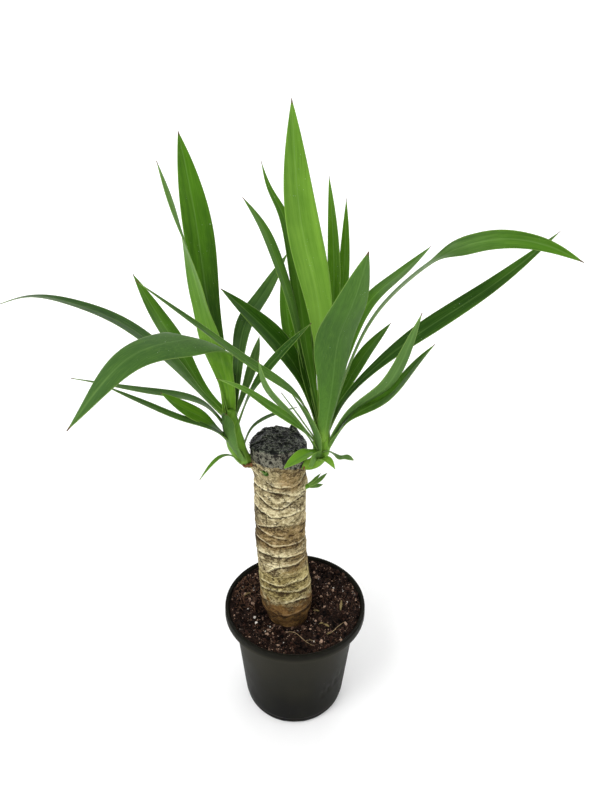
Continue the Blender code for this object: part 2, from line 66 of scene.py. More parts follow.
def make_camera():
    camera = bpy.data.objects.new("camera", bpy.data.cameras.new("camera"))
    camera.data.lens = LENS
    camera.location = CAMERA_PLACE
    camera.rotation_mode = "QUATERNION"
    tilt = Euler((radians(90 - LOOK_DOWN), 0, 0)).to_quaternion()
    camera.rotation_quaternion = tilt @ Quaternion((0, 0, 1), radians(CAMERA_ROLL))
    bpy.context.scene.collection.objects.link(camera)
    bpy.context.scene.camera = camera


make_camera()
print("camera", CAMERA_PLACE, "lens", LENS)

# %% [markdown]
# ## Small tools that every piece uses
#
# Nearly every piece here is a skin drawn over rings of points: a pot is rings stacked upwards, and a
# leaf is flattened rings strung along its midrib. Blender could loft curves for this, but rings written
# in code keep every size known. So one helper closes a stack of rings into a solid, and another keeps a
# number for each point, which the materials read later.

# %% Mesh tools


def mesh_piece(name, points, faces):
    """An object from points in millimetres, with its faces turned outwards and smoothed."""
    mesh = bpy.data.meshes.new(name)
    mesh.from_pydata((MM * np.asarray(points, float)).tolist(), [], faces)
    shape = bmesh.new()
    shape.from_mesh(mesh)
    bmesh.ops.recalc_face_normals(shape, faces=shape.faces)
    shape.to_mesh(mesh)
    shape.free()
    mesh.shade_smooth()
    piece = bpy.data.objects.new(name, mesh)
    bpy.context.scene.collection.objects.link(piece)
    return piece


def ring_faces(rows, corners, start=0):
    """Quads between rows of closed rings, then a fan at each end round two extra points."""
    here = np.arange(rows * corners).reshape(rows, corners) + start
    there = np.roll(here, -1, axis=1)
    quads = np.stack([here[:-1], there[:-1], there[1:], here[1:]], axis=-1).reshape(-1, 4)
    first, last = start + rows * corners, start + rows * corners + 1
    faces = quads.tolist()
    faces += [(first, int(b), int(a)) for a, b in zip(here[0], there[0])]
    faces += [(last, int(a), int(b)) for a, b in zip(here[-1], there[-1])]
    return faces


def skin(name, rings):
    """A closed body over an array of rings (rows, corners, 3) in millimetres."""
    rings = np.asarray(rings, float)
    rows, corners = rings.shape[:2]
    points = np.concatenate([rings.reshape(-1, 3), [rings[0].mean(0)], [rings[-1].mean(0)]])
    return mesh_piece(name, points, ring_faces(rows, corners))


def store(piece, name, values):
    """Keep one number for each point, for the materials to read."""
    layer = piece.data.attributes.new(name, "FLOAT", "POINT")
    values = np.ravel(values).astype(np.float32)
    spare = len(piece.data.vertices) - len(values)
    layer.data.foreach_set("value", np.concatenate([values, np.full(spare, values[-1], np.float32)]))


print("three rings of eight points make", len(ring_faces(3, 8)), "faces")

# %% [markdown]
# Grown things need bumps that look random and are the same on each run. Blender's own textures could
# push the points about, but values worked out in code also tell the materials where the bumps are.

# %% Smooth random values and soft steps


def grain(points, size, seed=0):
    """Smooth values from -1 to 1 that vary over about size millimetres, alike on every run."""
    place = np.asarray(points, float) / size + 1000.0
    cell = np.floor(place).astype(np.int64)
    share = place - cell
    share = share * share * (3 - 2 * share)
    total = np.zeros(place.shape[:-1])
    for corner in np.ndindex(2, 2, 2):
        key = (cell + corner) @ np.array([73856093, 19349663, 83492791]) + 7919 * seed
        key = (key ^ (key >> 13)) * 1274126177 % 2147483647
        key = (key ^ (key >> 11)) * 48271 % 2147483647
        weight = np.prod(np.where(corner, share, 1 - share), axis=-1)
        total += weight * (key / 2147483647.0)
    return 2 * total - 1


def step(low, high, value):
    """0 below low, 1 above high, and an S-curve between."""
    share = np.clip((value - low) / (high - low), 0.0, 1.0)
    return share * share * (3 - 2 * share)


def band(rise, fall, value):
    """1 between a soft rise and a soft fall, each given as its start and its end."""
    return step(*rise, value) * (1 - step(*fall, value))


def bell(value, middle, width):
    """1 at the middle, and falling softly to 0 over about two widths."""
    return np.exp(-((value - middle) / width) ** 2)


def unit(vectors):
    """The same directions with a length of 1."""
    return vectors / np.linalg.norm(vectors, axis=-1, keepdims=True)


def angles_round(sides):
    """Even steps round a full turn, in radians."""
    return 2 * pi * np.arange(sides) / sides


def outwards(angle):
    """A level step of length 1 at an angle round the Z axis."""
    return np.stack([np.cos(angle), np.sin(angle)], axis=-1)


print("grain at three points:", grain([[0, 0, 0], [5, 0, 0], [0, 5, 0]], 4.0).round(2))

# %% [markdown]
# Stems, leaves and fibres follow curves. A Blender curve object would do, but its points can't be asked
# for at any share of its length. A natural cubic spline is a few lines of algebra, passes through every
# measured point, and bends no more than it must between them.

# %% Smooth curves through measured points


def spline(points, shares):
    """Points at the given shares of the length of a natural cubic spline through the points."""
    knots = np.array(points, float)
    along = np.concatenate([[0], np.cumsum(np.linalg.norm(np.diff(knots, axis=0), axis=1))])
    gaps = np.diff(along)
    system = np.eye(len(knots))
    bends = np.zeros_like(knots)
    for k in range(1, len(knots) - 1):
        system[k, k - 1:k + 2] = gaps[k - 1], 2 * (gaps[k - 1] + gaps[k]), gaps[k]
        bends[k] = 6 * ((knots[k + 1] - knots[k]) / gaps[k] - (knots[k] - knots[k - 1]) / gaps[k - 1])
    bends = np.linalg.solve(system, bends)
    place = np.asarray(shares, float) * along[-1]
    k = np.clip(np.searchsorted(along, place) - 1, 0, len(gaps) - 1)
    before, after, gap = (v[:, None] for v in (place - along[k], along[k + 1] - place, gaps[k]))
    return ((bends[k] * after ** 3 + bends[k + 1] * before ** 3) / (6 * gap)
            + (knots[k] / gap - bends[k] * gap / 6) * after
            + (knots[k + 1] / gap - bends[k + 1] * gap / 6) * before)


print("halfway along a bent line:", spline([(0, 0, 0), (6, 8, 0), (12, 0, 0)], [0.5]).round(2))

# %% [markdown]
# ## Materials from nodes
#
# A material could be one flat colour, but nothing real is. Each finish here starts from one shader,
# and its colour comes from noise at the scale of the real marks and from numbers stored on the mesh,
# such as how deep a crack is. Storing such numbers keeps the colour exactly on the shape it belongs to.

# %% Material tools


def finish_named(name):
    """A new material with one Principled shader."""
    made = bpy.data.materials.new(name)
    made.use_nodes = True
    return made


def shader_of(finish):
    return finish.node_tree.nodes["Principled BSDF"]


def add(finish, kind, inputs=None, **settings):
    """Add a node. Each input is a number, a colour, or another node's output."""
    made = finish.node_tree.nodes.new("ShaderNode" + kind)
    for name, value in settings.items():
        setattr(made, name, value)
    for key, value in (inputs or {}).items():
        if isinstance(value, bpy.types.NodeSocket):
            finish.node_tree.links.new(value, made.inputs[key])
        else:
            made.inputs[key].default_value = value
    return made


def wire(finish, source, socket):
    finish.node_tree.links.new(source, shader_of(finish).inputs[socket])


def stored(finish, name):
    """A number kept on the mesh with store()."""
    return add(finish, "Attribute", attribute_name=name).outputs["Fac"]


# %% [markdown]
# Noise is measured in Object coordinates, so that its marks have a real size in millimetres and stay
# put when a piece is moved. A few short helpers stretch, mix and add what the nodes give, because a
# finish written as one sum for each mark is easier to read than fifty linked boxes.

# %% Noise, mixing and bumps


def spots(finish, size, detail=4.0, roughness=0.55, place=None):
    """Noise whose marks are about size millimetres across."""
    place = place or add(finish, "TexCoord").outputs["Object"]
    noise = add(finish, "TexNoise", {"Vector": place, "Scale": 1000.0 / size, "Detail": detail,
                                     "Roughness": roughness})
    return noise.outputs["Fac"]


def between(finish, value, low, high, to_low=0.0, to_high=1.0):
    """Stretch a value so that low and high become to_low and to_high."""
    return add(finish, "MapRange", {"Value": value, "From Min": low, "From Max": high,
                                    "To Min": to_low, "To Max": to_high},
               interpolation_type="SMOOTHSTEP").outputs["Result"]


def blend_colour(finish, share, first, second, kind="MIX"):
    """Mix two colours, each a triple or a node's output."""
    made = add(finish, "Mix", data_type="RGBA", blend_type=kind)
    for socket, value in ((0, share), (6, first), (7, second)):
        if isinstance(value, bpy.types.NodeSocket):
            finish.node_tree.links.new(value, made.inputs[socket])
        else:
            made.inputs[socket].default_value = (*value, 1.0) if isinstance(value, tuple) else value
    return made.outputs[2]


def maths(finish, kind, first, second=0.0):
    return add(finish, "Math", {0: first, 1: second}, operation=kind).outputs[0]


def bump(finish, height, strength, depth_mm):
    """Let a value shape the light on the surface."""
    made = add(finish, "Bump", {"Height": height, "Strength": strength, "Distance": depth_mm * MM})
    wire(finish, made.outputs["Normal"], "Normal")


def shine(finish, amount):
    """How much light the surface mirrors. Low values keep dark colours dark."""
    shader_of(finish).inputs["Specular IOR Level"].default_value = amount


def put(piece, finish, slot, *nodes):
    """Give a piece its finish, let it ride on the plant, and let it stand for CAD nodes."""
    piece.data.materials.append(finish)
    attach(piece, "root")
    if nodes:
        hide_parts(*nodes)
    print(f"{piece.name}: {len(piece.data.polygons)} faces")


# %% [markdown]
# ## The pot
#
# The real pot is blow-moulded black plastic, barely over a millimetre thick, with a rolled rim and
# small drain notches round its foot. It could be spun with the Screw modifier, but the sizes are all
# known, so its outline is written as radius and height, corners are rounded in code, and the outline
# is turned in many small steps.

# %% The pot's outline
POT_HEIGHT, RIM_RADIUS, RIM_DROP, MOUTH_RADIUS = 140.0, 85.0, 10.0, 81.0
SHOULDER_RADIUS, SHOULDER_HEIGHT = 74.3, 127.0
FOOT_RADIUS, FOOT_HEIGHT, BASE_RADIUS = 62.6, 11.0, 58.5
WALL, ROUND, MOUTH_DEPTH, MOUTH_DRAFT, FOOT_TAPER = 1.3, 1.4, 4.0, 0.8, 0.6
RIM_DRAFT, RIM_TOP, HUB = 0.4, 2.2, 2.0
CORNER, OUTLINE_STEP, POT_SIDES = 1.6, 6.0, 240


def rounded(outline, size):
    """Replace each inner corner of an outline by a short arc."""
    points = [np.array(outline[0], float)]
    for before, corner, after in zip(outline, outline[1:], outline[2:]):
        before, corner, after = (np.array(p, float) for p in (before, corner, after))
        reach = min(size, 0.45 * np.linalg.norm(before - corner), 0.45 * np.linalg.norm(after - corner))
        start, end = corner + reach * unit(before - corner), corner + reach * unit(after - corner)
        points += [(1 - t) ** 2 * start + 2 * t * (1 - t) * corner + t * t * end for t in (0, .33, .67, 1)]
    return np.array([*points, outline[-1]])


def filled(outline, spacing):
    """Add points so that no stretch of an outline is longer than spacing."""
    points = [outline[0]]
    for a, b in zip(outline, outline[1:]):
        count = max(1, int(np.ceil(np.linalg.norm(b - a) / spacing)))
        points += [a + (b - a) * k / count for k in range(1, count + 1)]
    return np.array(points)


def turned(outline, sides):
    """Rings round the Z axis from an outline of radius and height."""
    angle = angles_round(sides)
    radius, height = outline[:, 0, None], outline[:, 1, None]
    return np.stack([radius * np.cos(angle), radius * np.sin(angle), height + 0 * angle], axis=-1)


POT_OUTLINE = [
    (HUB, WALL), (BASE_RADIUS - ROUND, WALL), (FOOT_RADIUS - FOOT_TAPER - WALL, 0.5 * FOOT_HEIGHT),
    (FOOT_RADIUS - WALL, FOOT_HEIGHT), (SHOULDER_RADIUS - WALL, SHOULDER_HEIGHT),
    (MOUTH_RADIUS - MOUTH_DRAFT, POT_HEIGHT - MOUTH_DEPTH), (MOUTH_RADIUS, POT_HEIGHT),
    (RIM_RADIUS - RIM_DRAFT, POT_HEIGHT), (RIM_RADIUS, POT_HEIGHT - RIM_DROP),
    (RIM_RADIUS - WALL, POT_HEIGHT - RIM_DROP), (RIM_RADIUS - WALL - RIM_DRAFT, POT_HEIGHT - RIM_TOP),
    (MOUTH_RADIUS + 1.4, POT_HEIGHT - RIM_TOP), (MOUTH_RADIUS + 0.5, POT_HEIGHT - MOUTH_DEPTH),
    (SHOULDER_RADIUS, SHOULDER_HEIGHT), (FOOT_RADIUS, FOOT_HEIGHT),
    (FOOT_RADIUS - 1.0, FOOT_HEIGHT - 1.5), (FOOT_RADIUS - FOOT_TAPER - 0.8, 0.4 * FOOT_HEIGHT),
    (BASE_RADIUS, 0), (HUB, 0)]
outline = filled(rounded(POT_OUTLINE, CORNER), OUTLINE_STEP)
print("pot outline:", len(outline), "points")

# %% [markdown]
# A turned pot is too perfect. The real wall is a little out of round, with one long crease at the lower
# right, so its points are moved in and out before the mesh is made. The drain notches could be modelled
# face by face, but one Boolean with rounded boxes cuts them all cleanly.

# %% Turn the pot and cut its drain notches
DENT_DEPTH, DENT_SIZE = 0.45, 42.0
DENTED_FROM, DENTED_TO = (12, 40), (118, 128)
CREASE_LENGTH, CREASE_START, CREASE_RISE = 60.0, 24.0, 42.0
CREASE_BEGINS, CREASE_ENDS = (0.45, 0.60), (0.90, 1.02)
CREASE_GROOVE, CREASE_RIDGE = 1.2, 0.8
NOTCHES, NOTCH_SIZE, NOTCH_PLACE, NOTCH_ROUNDING = 8, (21.0, 16.0, 3.8), 61.5, 1.2


def dented(rings):
    """Thin plastic is never quite round: push the wall in and out a little."""
    points, x, y, z = rings.copy(), rings[..., :1], rings[..., 1:2], rings[..., 2:]
    push = DENT_DEPTH * grain(rings * (1, 1, 0.6), DENT_SIZE, 5)[..., None]
    along = x / CREASE_LENGTH
    away = z - CREASE_START - CREASE_RISE * along
    held = band(CREASE_BEGINS, CREASE_ENDS, along) * (y < 0)
    push += held * (CREASE_RIDGE * bell(away, 1.5, 1.6) - CREASE_GROOVE * bell(away, -1.5, 2.4))
    points[..., :2] *= 1 + band(DENTED_FROM, DENTED_TO, z) * push / np.hypot(x, y)
    return points


def notch_cutter(number):
    """A rounded box through the bottom edge."""
    bpy.ops.mesh.primitive_cube_add(size=1)
    cutter = bpy.context.object
    angle = -pi / 2 + 2 * pi * number / NOTCHES
    cutter.scale = [MM * v for v in (NOTCH_SIZE[1], NOTCH_SIZE[0], 2 * NOTCH_SIZE[2])]
    cutter.location = (MM * NOTCH_PLACE * cos(angle), MM * NOTCH_PLACE * sin(angle), 0)
    cutter.rotation_euler = (0, 0, angle)
    bpy.ops.object.transform_apply(scale=True)
    edge = cutter.modifiers.new("rounding", "BEVEL")
    edge.width, edge.segments = NOTCH_ROUNDING * MM, 3
    return cutter


def cut(piece, cutters):
    """Cut all cutters from a piece with one Boolean, then remove them."""
    group = bpy.data.collections.new("cutters")
    bpy.context.scene.collection.children.link(group)
    for cutter in cutters:
        for old in list(cutter.users_collection):
            old.objects.unlink(cutter)
        group.objects.link(cutter)
    change = piece.modifiers.new("cut", "BOOLEAN")
    change.operand_type, change.collection, change.solver = "COLLECTION", group, "EXACT"
    ready = piece.evaluated_get(bpy.context.evaluated_depsgraph_get())
    piece.data = bpy.data.meshes.new_from_object(ready)
    piece.modifiers.clear()
    for cutter in cutters:
        bpy.data.objects.remove(cutter, do_unlink=True)
    bpy.data.collections.remove(group)


pot = skin("pot_shell", dented(turned(outline, POT_SIDES)))
cut(pot, [notch_cutter(number) for number in range(NOTCHES)])
pot.data.shade_smooth()
pot.data.set_sharp_from_angle(angle=radians(50))
print("pot with", NOTCHES, "notches:", len(pot.data.vertices), "points")

# %% [markdown]
# The plastic is satin black. One flat black would look like a cut-out, because up close it has dust
# and faint cloudy wear that changes how it shines. So noise drives a slight grey and the roughness, and
# a few pale specks sit on top. Height adds more of the same grey towards the top of the wall, as a
# painted sheen. The top of the rim gets less of this grey than the wall.

# %% Black plastic
# the grey is partly dust and partly a painted sheen
PLASTIC_BLACK, DUST_AND_SHEEN_GREY = (0.0016, 0.0017, 0.0011), (0.0265, 0.0250, 0.0175)
SPECK_GREY = (0.16, 0.155, 0.13)


def make_black_plastic():
    finish = finish_named("black_plastic")
    cloud = spots(finish, 38.0, 5.0)
    speck = between(finish, spots(finish, 1.6, 2.0), 0.735, 0.76)
    rare = between(finish, spots(finish, 9.0, 1.0), 0.56, 0.64)
    place = add(finish, "SeparateXYZ", {"Vector": add(finish, "TexCoord").outputs["Object"]})
    height = place.outputs["Z"]
    # painted sheen: height makes the wall greyer towards the top, and the cloud noise adds dust
    dust_and_sheen = maths(finish, "ADD", between(finish, height, 0.02, 0.13, 0.0, 0.75),
                  between(finish, cloud, 0.35, 0.7, 0.0, 0.25))
    # the top of the rim gets less of this grey
    less_grey_at_rim = between(finish, height, 0.131, 0.136, 1.0, 0.3)
    dust_and_sheen = maths(finish, "MULTIPLY", dust_and_sheen, less_grey_at_rim)
    colour = blend_colour(finish, dust_and_sheen, PLASTIC_BLACK, DUST_AND_SHEEN_GREY)
    colour = blend_colour(finish, maths(finish, "MULTIPLY", speck, rare), colour, SPECK_GREY)
    wire(finish, colour, "Base Color")
    wire(finish, between(finish, cloud, 0.3, 0.7, 0.40, 0.54), "Roughness")
    shine(finish, 0.04)
    bump(finish, spots(finish, 0.9, 3.0), 0.12, 0.1)
    return finish


put(pot, make_black_plastic(), "black_plastic", "pot")

# %% [markdown]
# ## The cane
#
# Each leaf that a yucca drops leaves a scar round its cane: a thin dark crack with a pale raised lip
# over it. A tiling texture would repeat, so the main scars are written down one by one, as their
# heights at nine angles round the cane, and every point of a fine skin is moved in or out by its
# distance from them. First comes the plain cane that they lie on, a leaning stick through measured
# points, thinner where it enters the soil.

# %% The cane's middle line and thickness
TRUNK_LINE = [(-7, -6, 60), (-9, -4, 136), (-14.5, 0, 192), (-17.5, 3, 256), (-18, 3, 315), (-20, 3, 361)]
TRUNK_FOOT, TRUNK_TOP = 60.0, 360.0
TRUNK_RADIUS, TRUNK_SWELL = 28.4, 1.6
TRUNK_NECK_RADIUS, TRUNK_END_RADIUS = 24.0, 20.0
NECK_HEIGHT, SWELL_HEIGHT, SWELL_END = 126.0, 146.0, 215.0
TRUNK_MIDDLES = spline(TRUNK_LINE, np.linspace(0, 1, 80))


def trunk_middle(z):
    """Where the leaning cane's middle is at each height."""
    return np.stack([np.interp(z, TRUNK_MIDDLES[:, 2], TRUNK_MIDDLES[:, k]) for k in (0, 1)], axis=-1)


def trunk_body(z):
    """The cane's radius without its bark."""
    foot = TRUNK_END_RADIUS + (TRUNK_NECK_RADIUS - TRUNK_END_RADIUS) * step(TRUNK_FOOT, NECK_HEIGHT, z)
    body = TRUNK_RADIUS + TRUNK_SWELL * (1 - step(SWELL_HEIGHT, SWELL_END, z))
    return foot + (body - foot) * step(NECK_HEIGHT, SWELL_HEIGHT, z)


print("cane radius at the soil and higher up:", trunk_body(np.array([133.0, 250.0])).round(1))

# %% [markdown]
# The scars dip and climb as they go round, cross in places and close up in others. A ring modelled by
# hand for each would look tidy and new. Heights read from the photo at the front, and guessed at the
# back, give each scar its own path, and slow noise decides where it gapes.

# %% The scars and cracks
SCAR_ANGLES = (-180, -120, -75, -38, 0, 38, 75, 120, 180)
SCARS = [  # height of each scar in mm at those angles from the front, from below upwards
    (148, 145, 146, 148, 147, 149, 147, 150, 148),
    (158, 155, 156, 163, 165, 165, 156, 154, 158),
    (176, 180, 172, 177, 180, 176, 172, 170, 176),
    (186, 184, 182, 187, 188, 188, 186, 190, 186),
    (196, 200, 199, 202, 213, 212, 213, 208, 196),
    (214, 219, 223, 226, 226, 224, 220, 215, 214),
    (236, 240, 243, 241, 240, 240, 238, 234, 236),
    (250, 255, 257, 254, 251, 252, 256, 252, 250),
    (266, 262, 259, 262, 268, 267, 261, 263, 266),
    (280, 284, 283, 280, 279, 281, 277, 276, 280),
    (300, 304, 301, 296, 290, 299, 299, 304, 300),
    (306, 303, 309, 311, 310, 304, 303, 301, 306),
    (322, 326, 328, 325, 317, 316, 321, 325, 322)]
UPRIGHT_CRACKS = [  # angle from the front, lower and upper height, width in mm
    (0, 287, 305, 0.7), (-31, 263, 284, 0.7), (52, 269, 290, 0.9), (-3, 212, 229, 1.1),
    (40, 283, 300, 0.8), (20, 316, 326, 0.8), (60, 240, 256, 0.7), (-50, 187, 200, 0.7),
    (150, 225, 245, 0.8), (-140, 270, 290, 0.8), (110, 190, 205, 0.8), (-110, 300, 316, 0.8)]
LIP_RISE, LIP_WIDTH, SHADE_REACH = 2.2, 1.3, 4.0


def scar_height(heights, angle):
    """A scar's height at any angle, on a smooth curve through its measured heights."""
    curve = spline(list(zip(SCAR_ANGLES, heights)), np.linspace(0, 1, 240))
    return np.interp(angle, curve[:, 0], curve[:, 1])


def scar_marks(angle, z, points):
    """Signed distance to the nearest scar, how open it is there, its lip, and the painted light and shade
    between scars.
    """
    wander = grain(points, 12.0, 1) + 0.6 * grain(points, 4.0, 2)
    offset, opened, lip = np.full(z.shape, 99.0), np.zeros(z.shape), np.zeros(z.shape)
    shade = np.zeros(z.shape)
    for number, heights in enumerate(SCARS):
        away = z - scar_height(heights, angle) + wander
        held = 0.35 + 0.65 * step(-0.6, 0.2, grain(points * (1, 1, 0.5), 21.0, 10 + number))
        nearer = np.abs(away) < np.abs(offset)
        offset, opened = np.where(nearer, away, offset), np.where(nearer, held, opened)
        lip = np.maximum(lip, held * bell(away, LIP_RISE, LIP_WIDTH))
        # painted light and shade: lighter just above each scar, darker just below the next one up
        shade += held * np.sign(away) * np.exp(-np.abs(away) / SHADE_REACH)
    return offset, opened, lip, shade


def upright_cracks(angle, z, points):
    """Short cracks that run up the cane."""
    crack = np.zeros(z.shape)
    for place, low, high, width in UPRIGHT_CRACKS:
        side = np.abs((angle - place + 180) % 360 - 180) * radians(1) * TRUNK_RADIUS
        side = side + grain(points, 5.0, 3)
        inside = band((low - 2, low + 2), (high - 2, high + 2), z)
        crack = np.maximum(crack, 0.9 * inside * bell(side, 0, width))
    return crack


print(len(SCARS), "scars and", len(UPRIGHT_CRACKS), "upright cracks")

# %% [markdown]
# Between the scars the bark is flat plates with a fine grain, and it swells where a head breaks out of
# it. Sculpting could give that, but a formula for the radius of every point keeps it under control. How
# far each point is from a scar, and which stretch of the cane it is on, is stored for the colours.

# %% Skin of the cane
TRUNK_ROWS, TRUNK_SIDES = 330, 280
BARK_BEGINS, BARK_ENDS, BARK_THICKNESS = (116, 128), (334, 340), 0.35
UNDER_WAX, WAXED_FROM = 7.0, (TRUNK_TOP - 11, TRUNK_TOP - 5)
BULGES = [(5.5, -84, 26, 335, 9), (2.6, 86, 18, 307, 7)]  # reach, then angle and height, each with a spread
PLATES, TINY_GRAIN, SLOW_BUMPS, LIP, CRACK = 0.50, 0.36, 0.8, 0.30, 0.60


def bark_relief(angle, z, plain, lip, crack):
    """How far the bark stands out at each point, in millimetres."""
    plates = grain(plain * (1, 1, 1.4), 9.0, 31) + 0.5 * grain(plain, 4.0, 32)
    relief = PLATES * plates + TINY_GRAIN * grain(plain, 1.9, 33) + LIP * lip - CRACK * crack
    return relief + 0.5 * np.sin(3 * angle + 0.04 * z) + SLOW_BUMPS * grain(plain * (1, 1, 1.5), 17.0, 36)


def bark_zones(from_front, z):
    """The brown, olive and damp stretches of the cane, and a painted shade on its left side, from 0 to 1."""
    brown = band((226, 244), (256, 276), z) + 0.7 * step(305, 318, z) * step(-40, 20, from_front)
    brown += 0.7 * band((196, 208), (220, 236), z) * step(-20, 35, from_front)
    return {"brown": brown, "olive": band((150, 182), (190, 216), z), "foot": 1 - step(146, 178, z),
            "shaded_left_side": step(-30, -75, from_front) * band((214, 236), (272, 290), z)}


def make_trunk():
    buried, shown = np.linspace(TRUNK_FOOT, 118, 8), np.linspace(119, TRUNK_TOP - 4, TRUNK_ROWS)
    heights = np.concatenate([buried, shown])
    z, angle = np.meshgrid(heights, angles_round(TRUNK_SIDES), indexing="ij")
    out, middle, body = outwards(angle), trunk_middle(z), trunk_body(z)
    plain = np.concatenate([middle + body[..., None] * out, z[..., None]], axis=-1)
    from_front = (np.degrees(angle) + 90 + 180) % 360 - 180
    offset, opened, lip, shade = scar_marks(from_front, z, plain)
    upright = upright_cracks(from_front, z, plain)
    crack = np.maximum(opened * bell(offset, -0.4, 1.1), upright)
    relief = BARK_THICKNESS + bark_relief(angle, z, plain, lip, crack)
    radius = body + band(BARK_BEGINS, BARK_ENDS, z) * relief - UNDER_WAX * step(*WAXED_FROM, z)
    for reach, place, spread, height, tall in BULGES:
        radius += reach * bell(from_front, place, spread) * bell(z, height, tall)
    trunk = skin("cane", np.concatenate([middle + radius[..., None] * out, z[..., None]], axis=-1))
    layers = {"scar_offset": np.clip(offset, -6, 6), "scar_gap": np.clip(np.abs(offset), 0, 6),
              "opened": opened, "upright": upright, "lip": lip, "shade": shade}
    for layer, values in {**layers, **bark_zones(from_front, z)}.items():
        store(trunk, layer, values)
    return trunk


trunk = make_trunk()
print("skin of the cane:", len(trunk.data.vertices), "points")

# %% [markdown]
# Bark has more than one colour: cream where it has flaked, tan, and brown where the old scars lie
# thick. One painted picture could hold them all, but it would blur up close. Two noises of different
# size choose between three colours here, stretched sideways because bark grows in rings, and painted
# light and shade make it lighter above a scar than below it. The stored stretches tint it: brown and
# olive bands, a damp foot and a painted shade down the left side. The raised lip over a scar is painted
# pale, partly cream bark and partly a painted highlight where it catches light from above. Dark lines
# are drawn last, in the scars, partly dark bark and partly painted shade in their grooves, and in hair
# cracks.

# %% Bark
OLD_BARK, TAN_BARK, CREAM_BARK = (0.055, 0.037, 0.017), (0.34, 0.28, 0.145), (0.70, 0.63, 0.40)
# the crack colour is partly dark bark and partly painted shade
# the lip colour is partly cream bark and partly a painted highlight
PALE_LIP_HIGHLIGHT, CRACK_SHADE_BROWN = (0.72, 0.65, 0.41), (0.026, 0.017, 0.009)
# the last tint is a painted shade down the cane's left side
BARK_TINTS = [("brown", 0.9, (0.48, 0.38, 0.27)), ("olive", 0.85, (0.68, 0.64, 0.42)),
              ("foot", 1.0, (0.30, 0.19, 0.11)), ("shaded_left_side", 0.8, (0.36, 0.34, 0.32))]


def crack_lines(finish, place):
    """1 in the scars' dark lines, partly painted shade in their grooves, and in hair cracks, where a smooth
    noise crosses its middle value.
    """
    ragged = between(finish, spots(finish, 2.6, 4.0, 0.75), 0.3, 0.7, -0.6, 1.6)
    away = maths(finish, "ABSOLUTE", maths(finish, "ADD", stored(finish, "scar_offset"), ragged))
    near = between(finish, stored(finish, "scar_gap"), 2.6, 1.6)
    lines = maths(finish, "MULTIPLY", between(finish, away, 1.15, 0.35), near)
    lines = maths(finish, "MULTIPLY", lines, between(finish, stored(finish, "opened"), 0.2, 0.7, 0.25, 1.0))
    lines = maths(finish, "MULTIPLY", lines, between(finish, spots(finish, 6.0, 3.0), 0.40, 0.55, 0.30, 1.0))
    lines = maths(finish, "MAXIMUM", lines, between(finish, stored(finish, "upright"), 0.3, 0.9, 0.0, 0.85))
    for size, width, strength in ((13.0, 0.018, 0.9), (7.5, 0.022, 0.7)):
        noise = spots(finish, size, 3.0, 0.55, place)
        middle = maths(finish, "ABSOLUTE", maths(finish, "SUBTRACT", noise, 0.5))
        patch = between(finish, spots(finish, 19.0, 2.0), 0.44, 0.56, 0.0, strength)
        hair = maths(finish, "MULTIPLY", between(finish, middle, width, 0.3 * width), patch)
        lines = maths(finish, "MAXIMUM", lines, hair)
    return lines


def ragged_zone(finish, layer, noise):
    """A stored zone whose soft border is broken up by a noise."""
    value = maths(finish, "ADD", stored(finish, layer), maths(finish, "MULTIPLY", noise, 2.4))
    return between(finish, value, 1.40, 2.0)


def make_bark():
    finish = finish_named("cane_bark")
    place = add(finish, "Mapping", {"Vector": add(finish, "TexCoord").outputs["Object"],
                                    "Scale": (0.55, 0.55, 1.0)}).outputs["Vector"]
    wide = spots(finish, 7.5, 5.0, 0.68, place)
    narrow = spots(finish, 2.2, 5.0, 0.78, place)
    tone = maths(finish, "ADD", maths(finish, "MULTIPLY", wide, 0.5), maths(finish, "MULTIPLY", narrow, 0.5))
    # painted light and shade between the scars lifts and lowers the tone
    tone = maths(finish, "ADD", tone, maths(finish, "MULTIPLY", stored(finish, "shade"), 0.07))
    colour = blend_colour(finish, between(finish, tone, 0.40, 0.505), OLD_BARK, TAN_BARK)
    colour = blend_colour(finish, between(finish, tone, 0.50, 0.585), colour, CREAM_BARK)
    for layer, share, tint in BARK_TINTS:
        amount = maths(finish, "MULTIPLY", ragged_zone(finish, layer, wide), share)
        colour = blend_colour(finish, amount, colour, tint, "MULTIPLY")
    # painted highlight: the lip is painted pale, partly cream bark and partly light caught from above
    pale = between(finish, maths(finish, "MULTIPLY", stored(finish, "lip"), narrow), 0.24, 0.52, 0.0, 0.60)
    pale = maths(finish, "MULTIPLY", pale, between(finish, stored(finish, "foot"), 0.0, 0.8, 1.0, 0.15))
    colour = blend_colour(finish, pale, colour, PALE_LIP_HIGHLIGHT)
    lines = crack_lines(finish, place)
    # painted shade: the scars' dark lines are partly dark bark and partly shade in their grooves
    colour = blend_colour(finish, maths(finish, "MULTIPLY", lines, 0.92), colour, CRACK_SHADE_BROWN)
    wire(finish, colour, "Base Color")
    wire(finish, between(finish, narrow, 0.3, 0.7, 0.70, 0.95), "Roughness")
    shine(finish, 0.1)
    bump(finish, maths(finish, "SUBTRACT", spots(finish, 1.5, 6.0, 0.75, place), lines), 0.8, 0.8)
    return finish


put(trunk, make_bark(), "cane_bark", "trunk")

# %% [markdown]
# ## The wax cap
#
# The cut top was dipped in black wax, which dried with a crackled, wrinkled face, a thin uneven skin
# down the sides and a torn lower edge. Sculpting would suit it, but ridged noise, which folds smooth
# noise at zero, gives wrinkles like these in one line. The snag at the back is a horn that grows out of
# the same face, and a few blisters are raised rings.

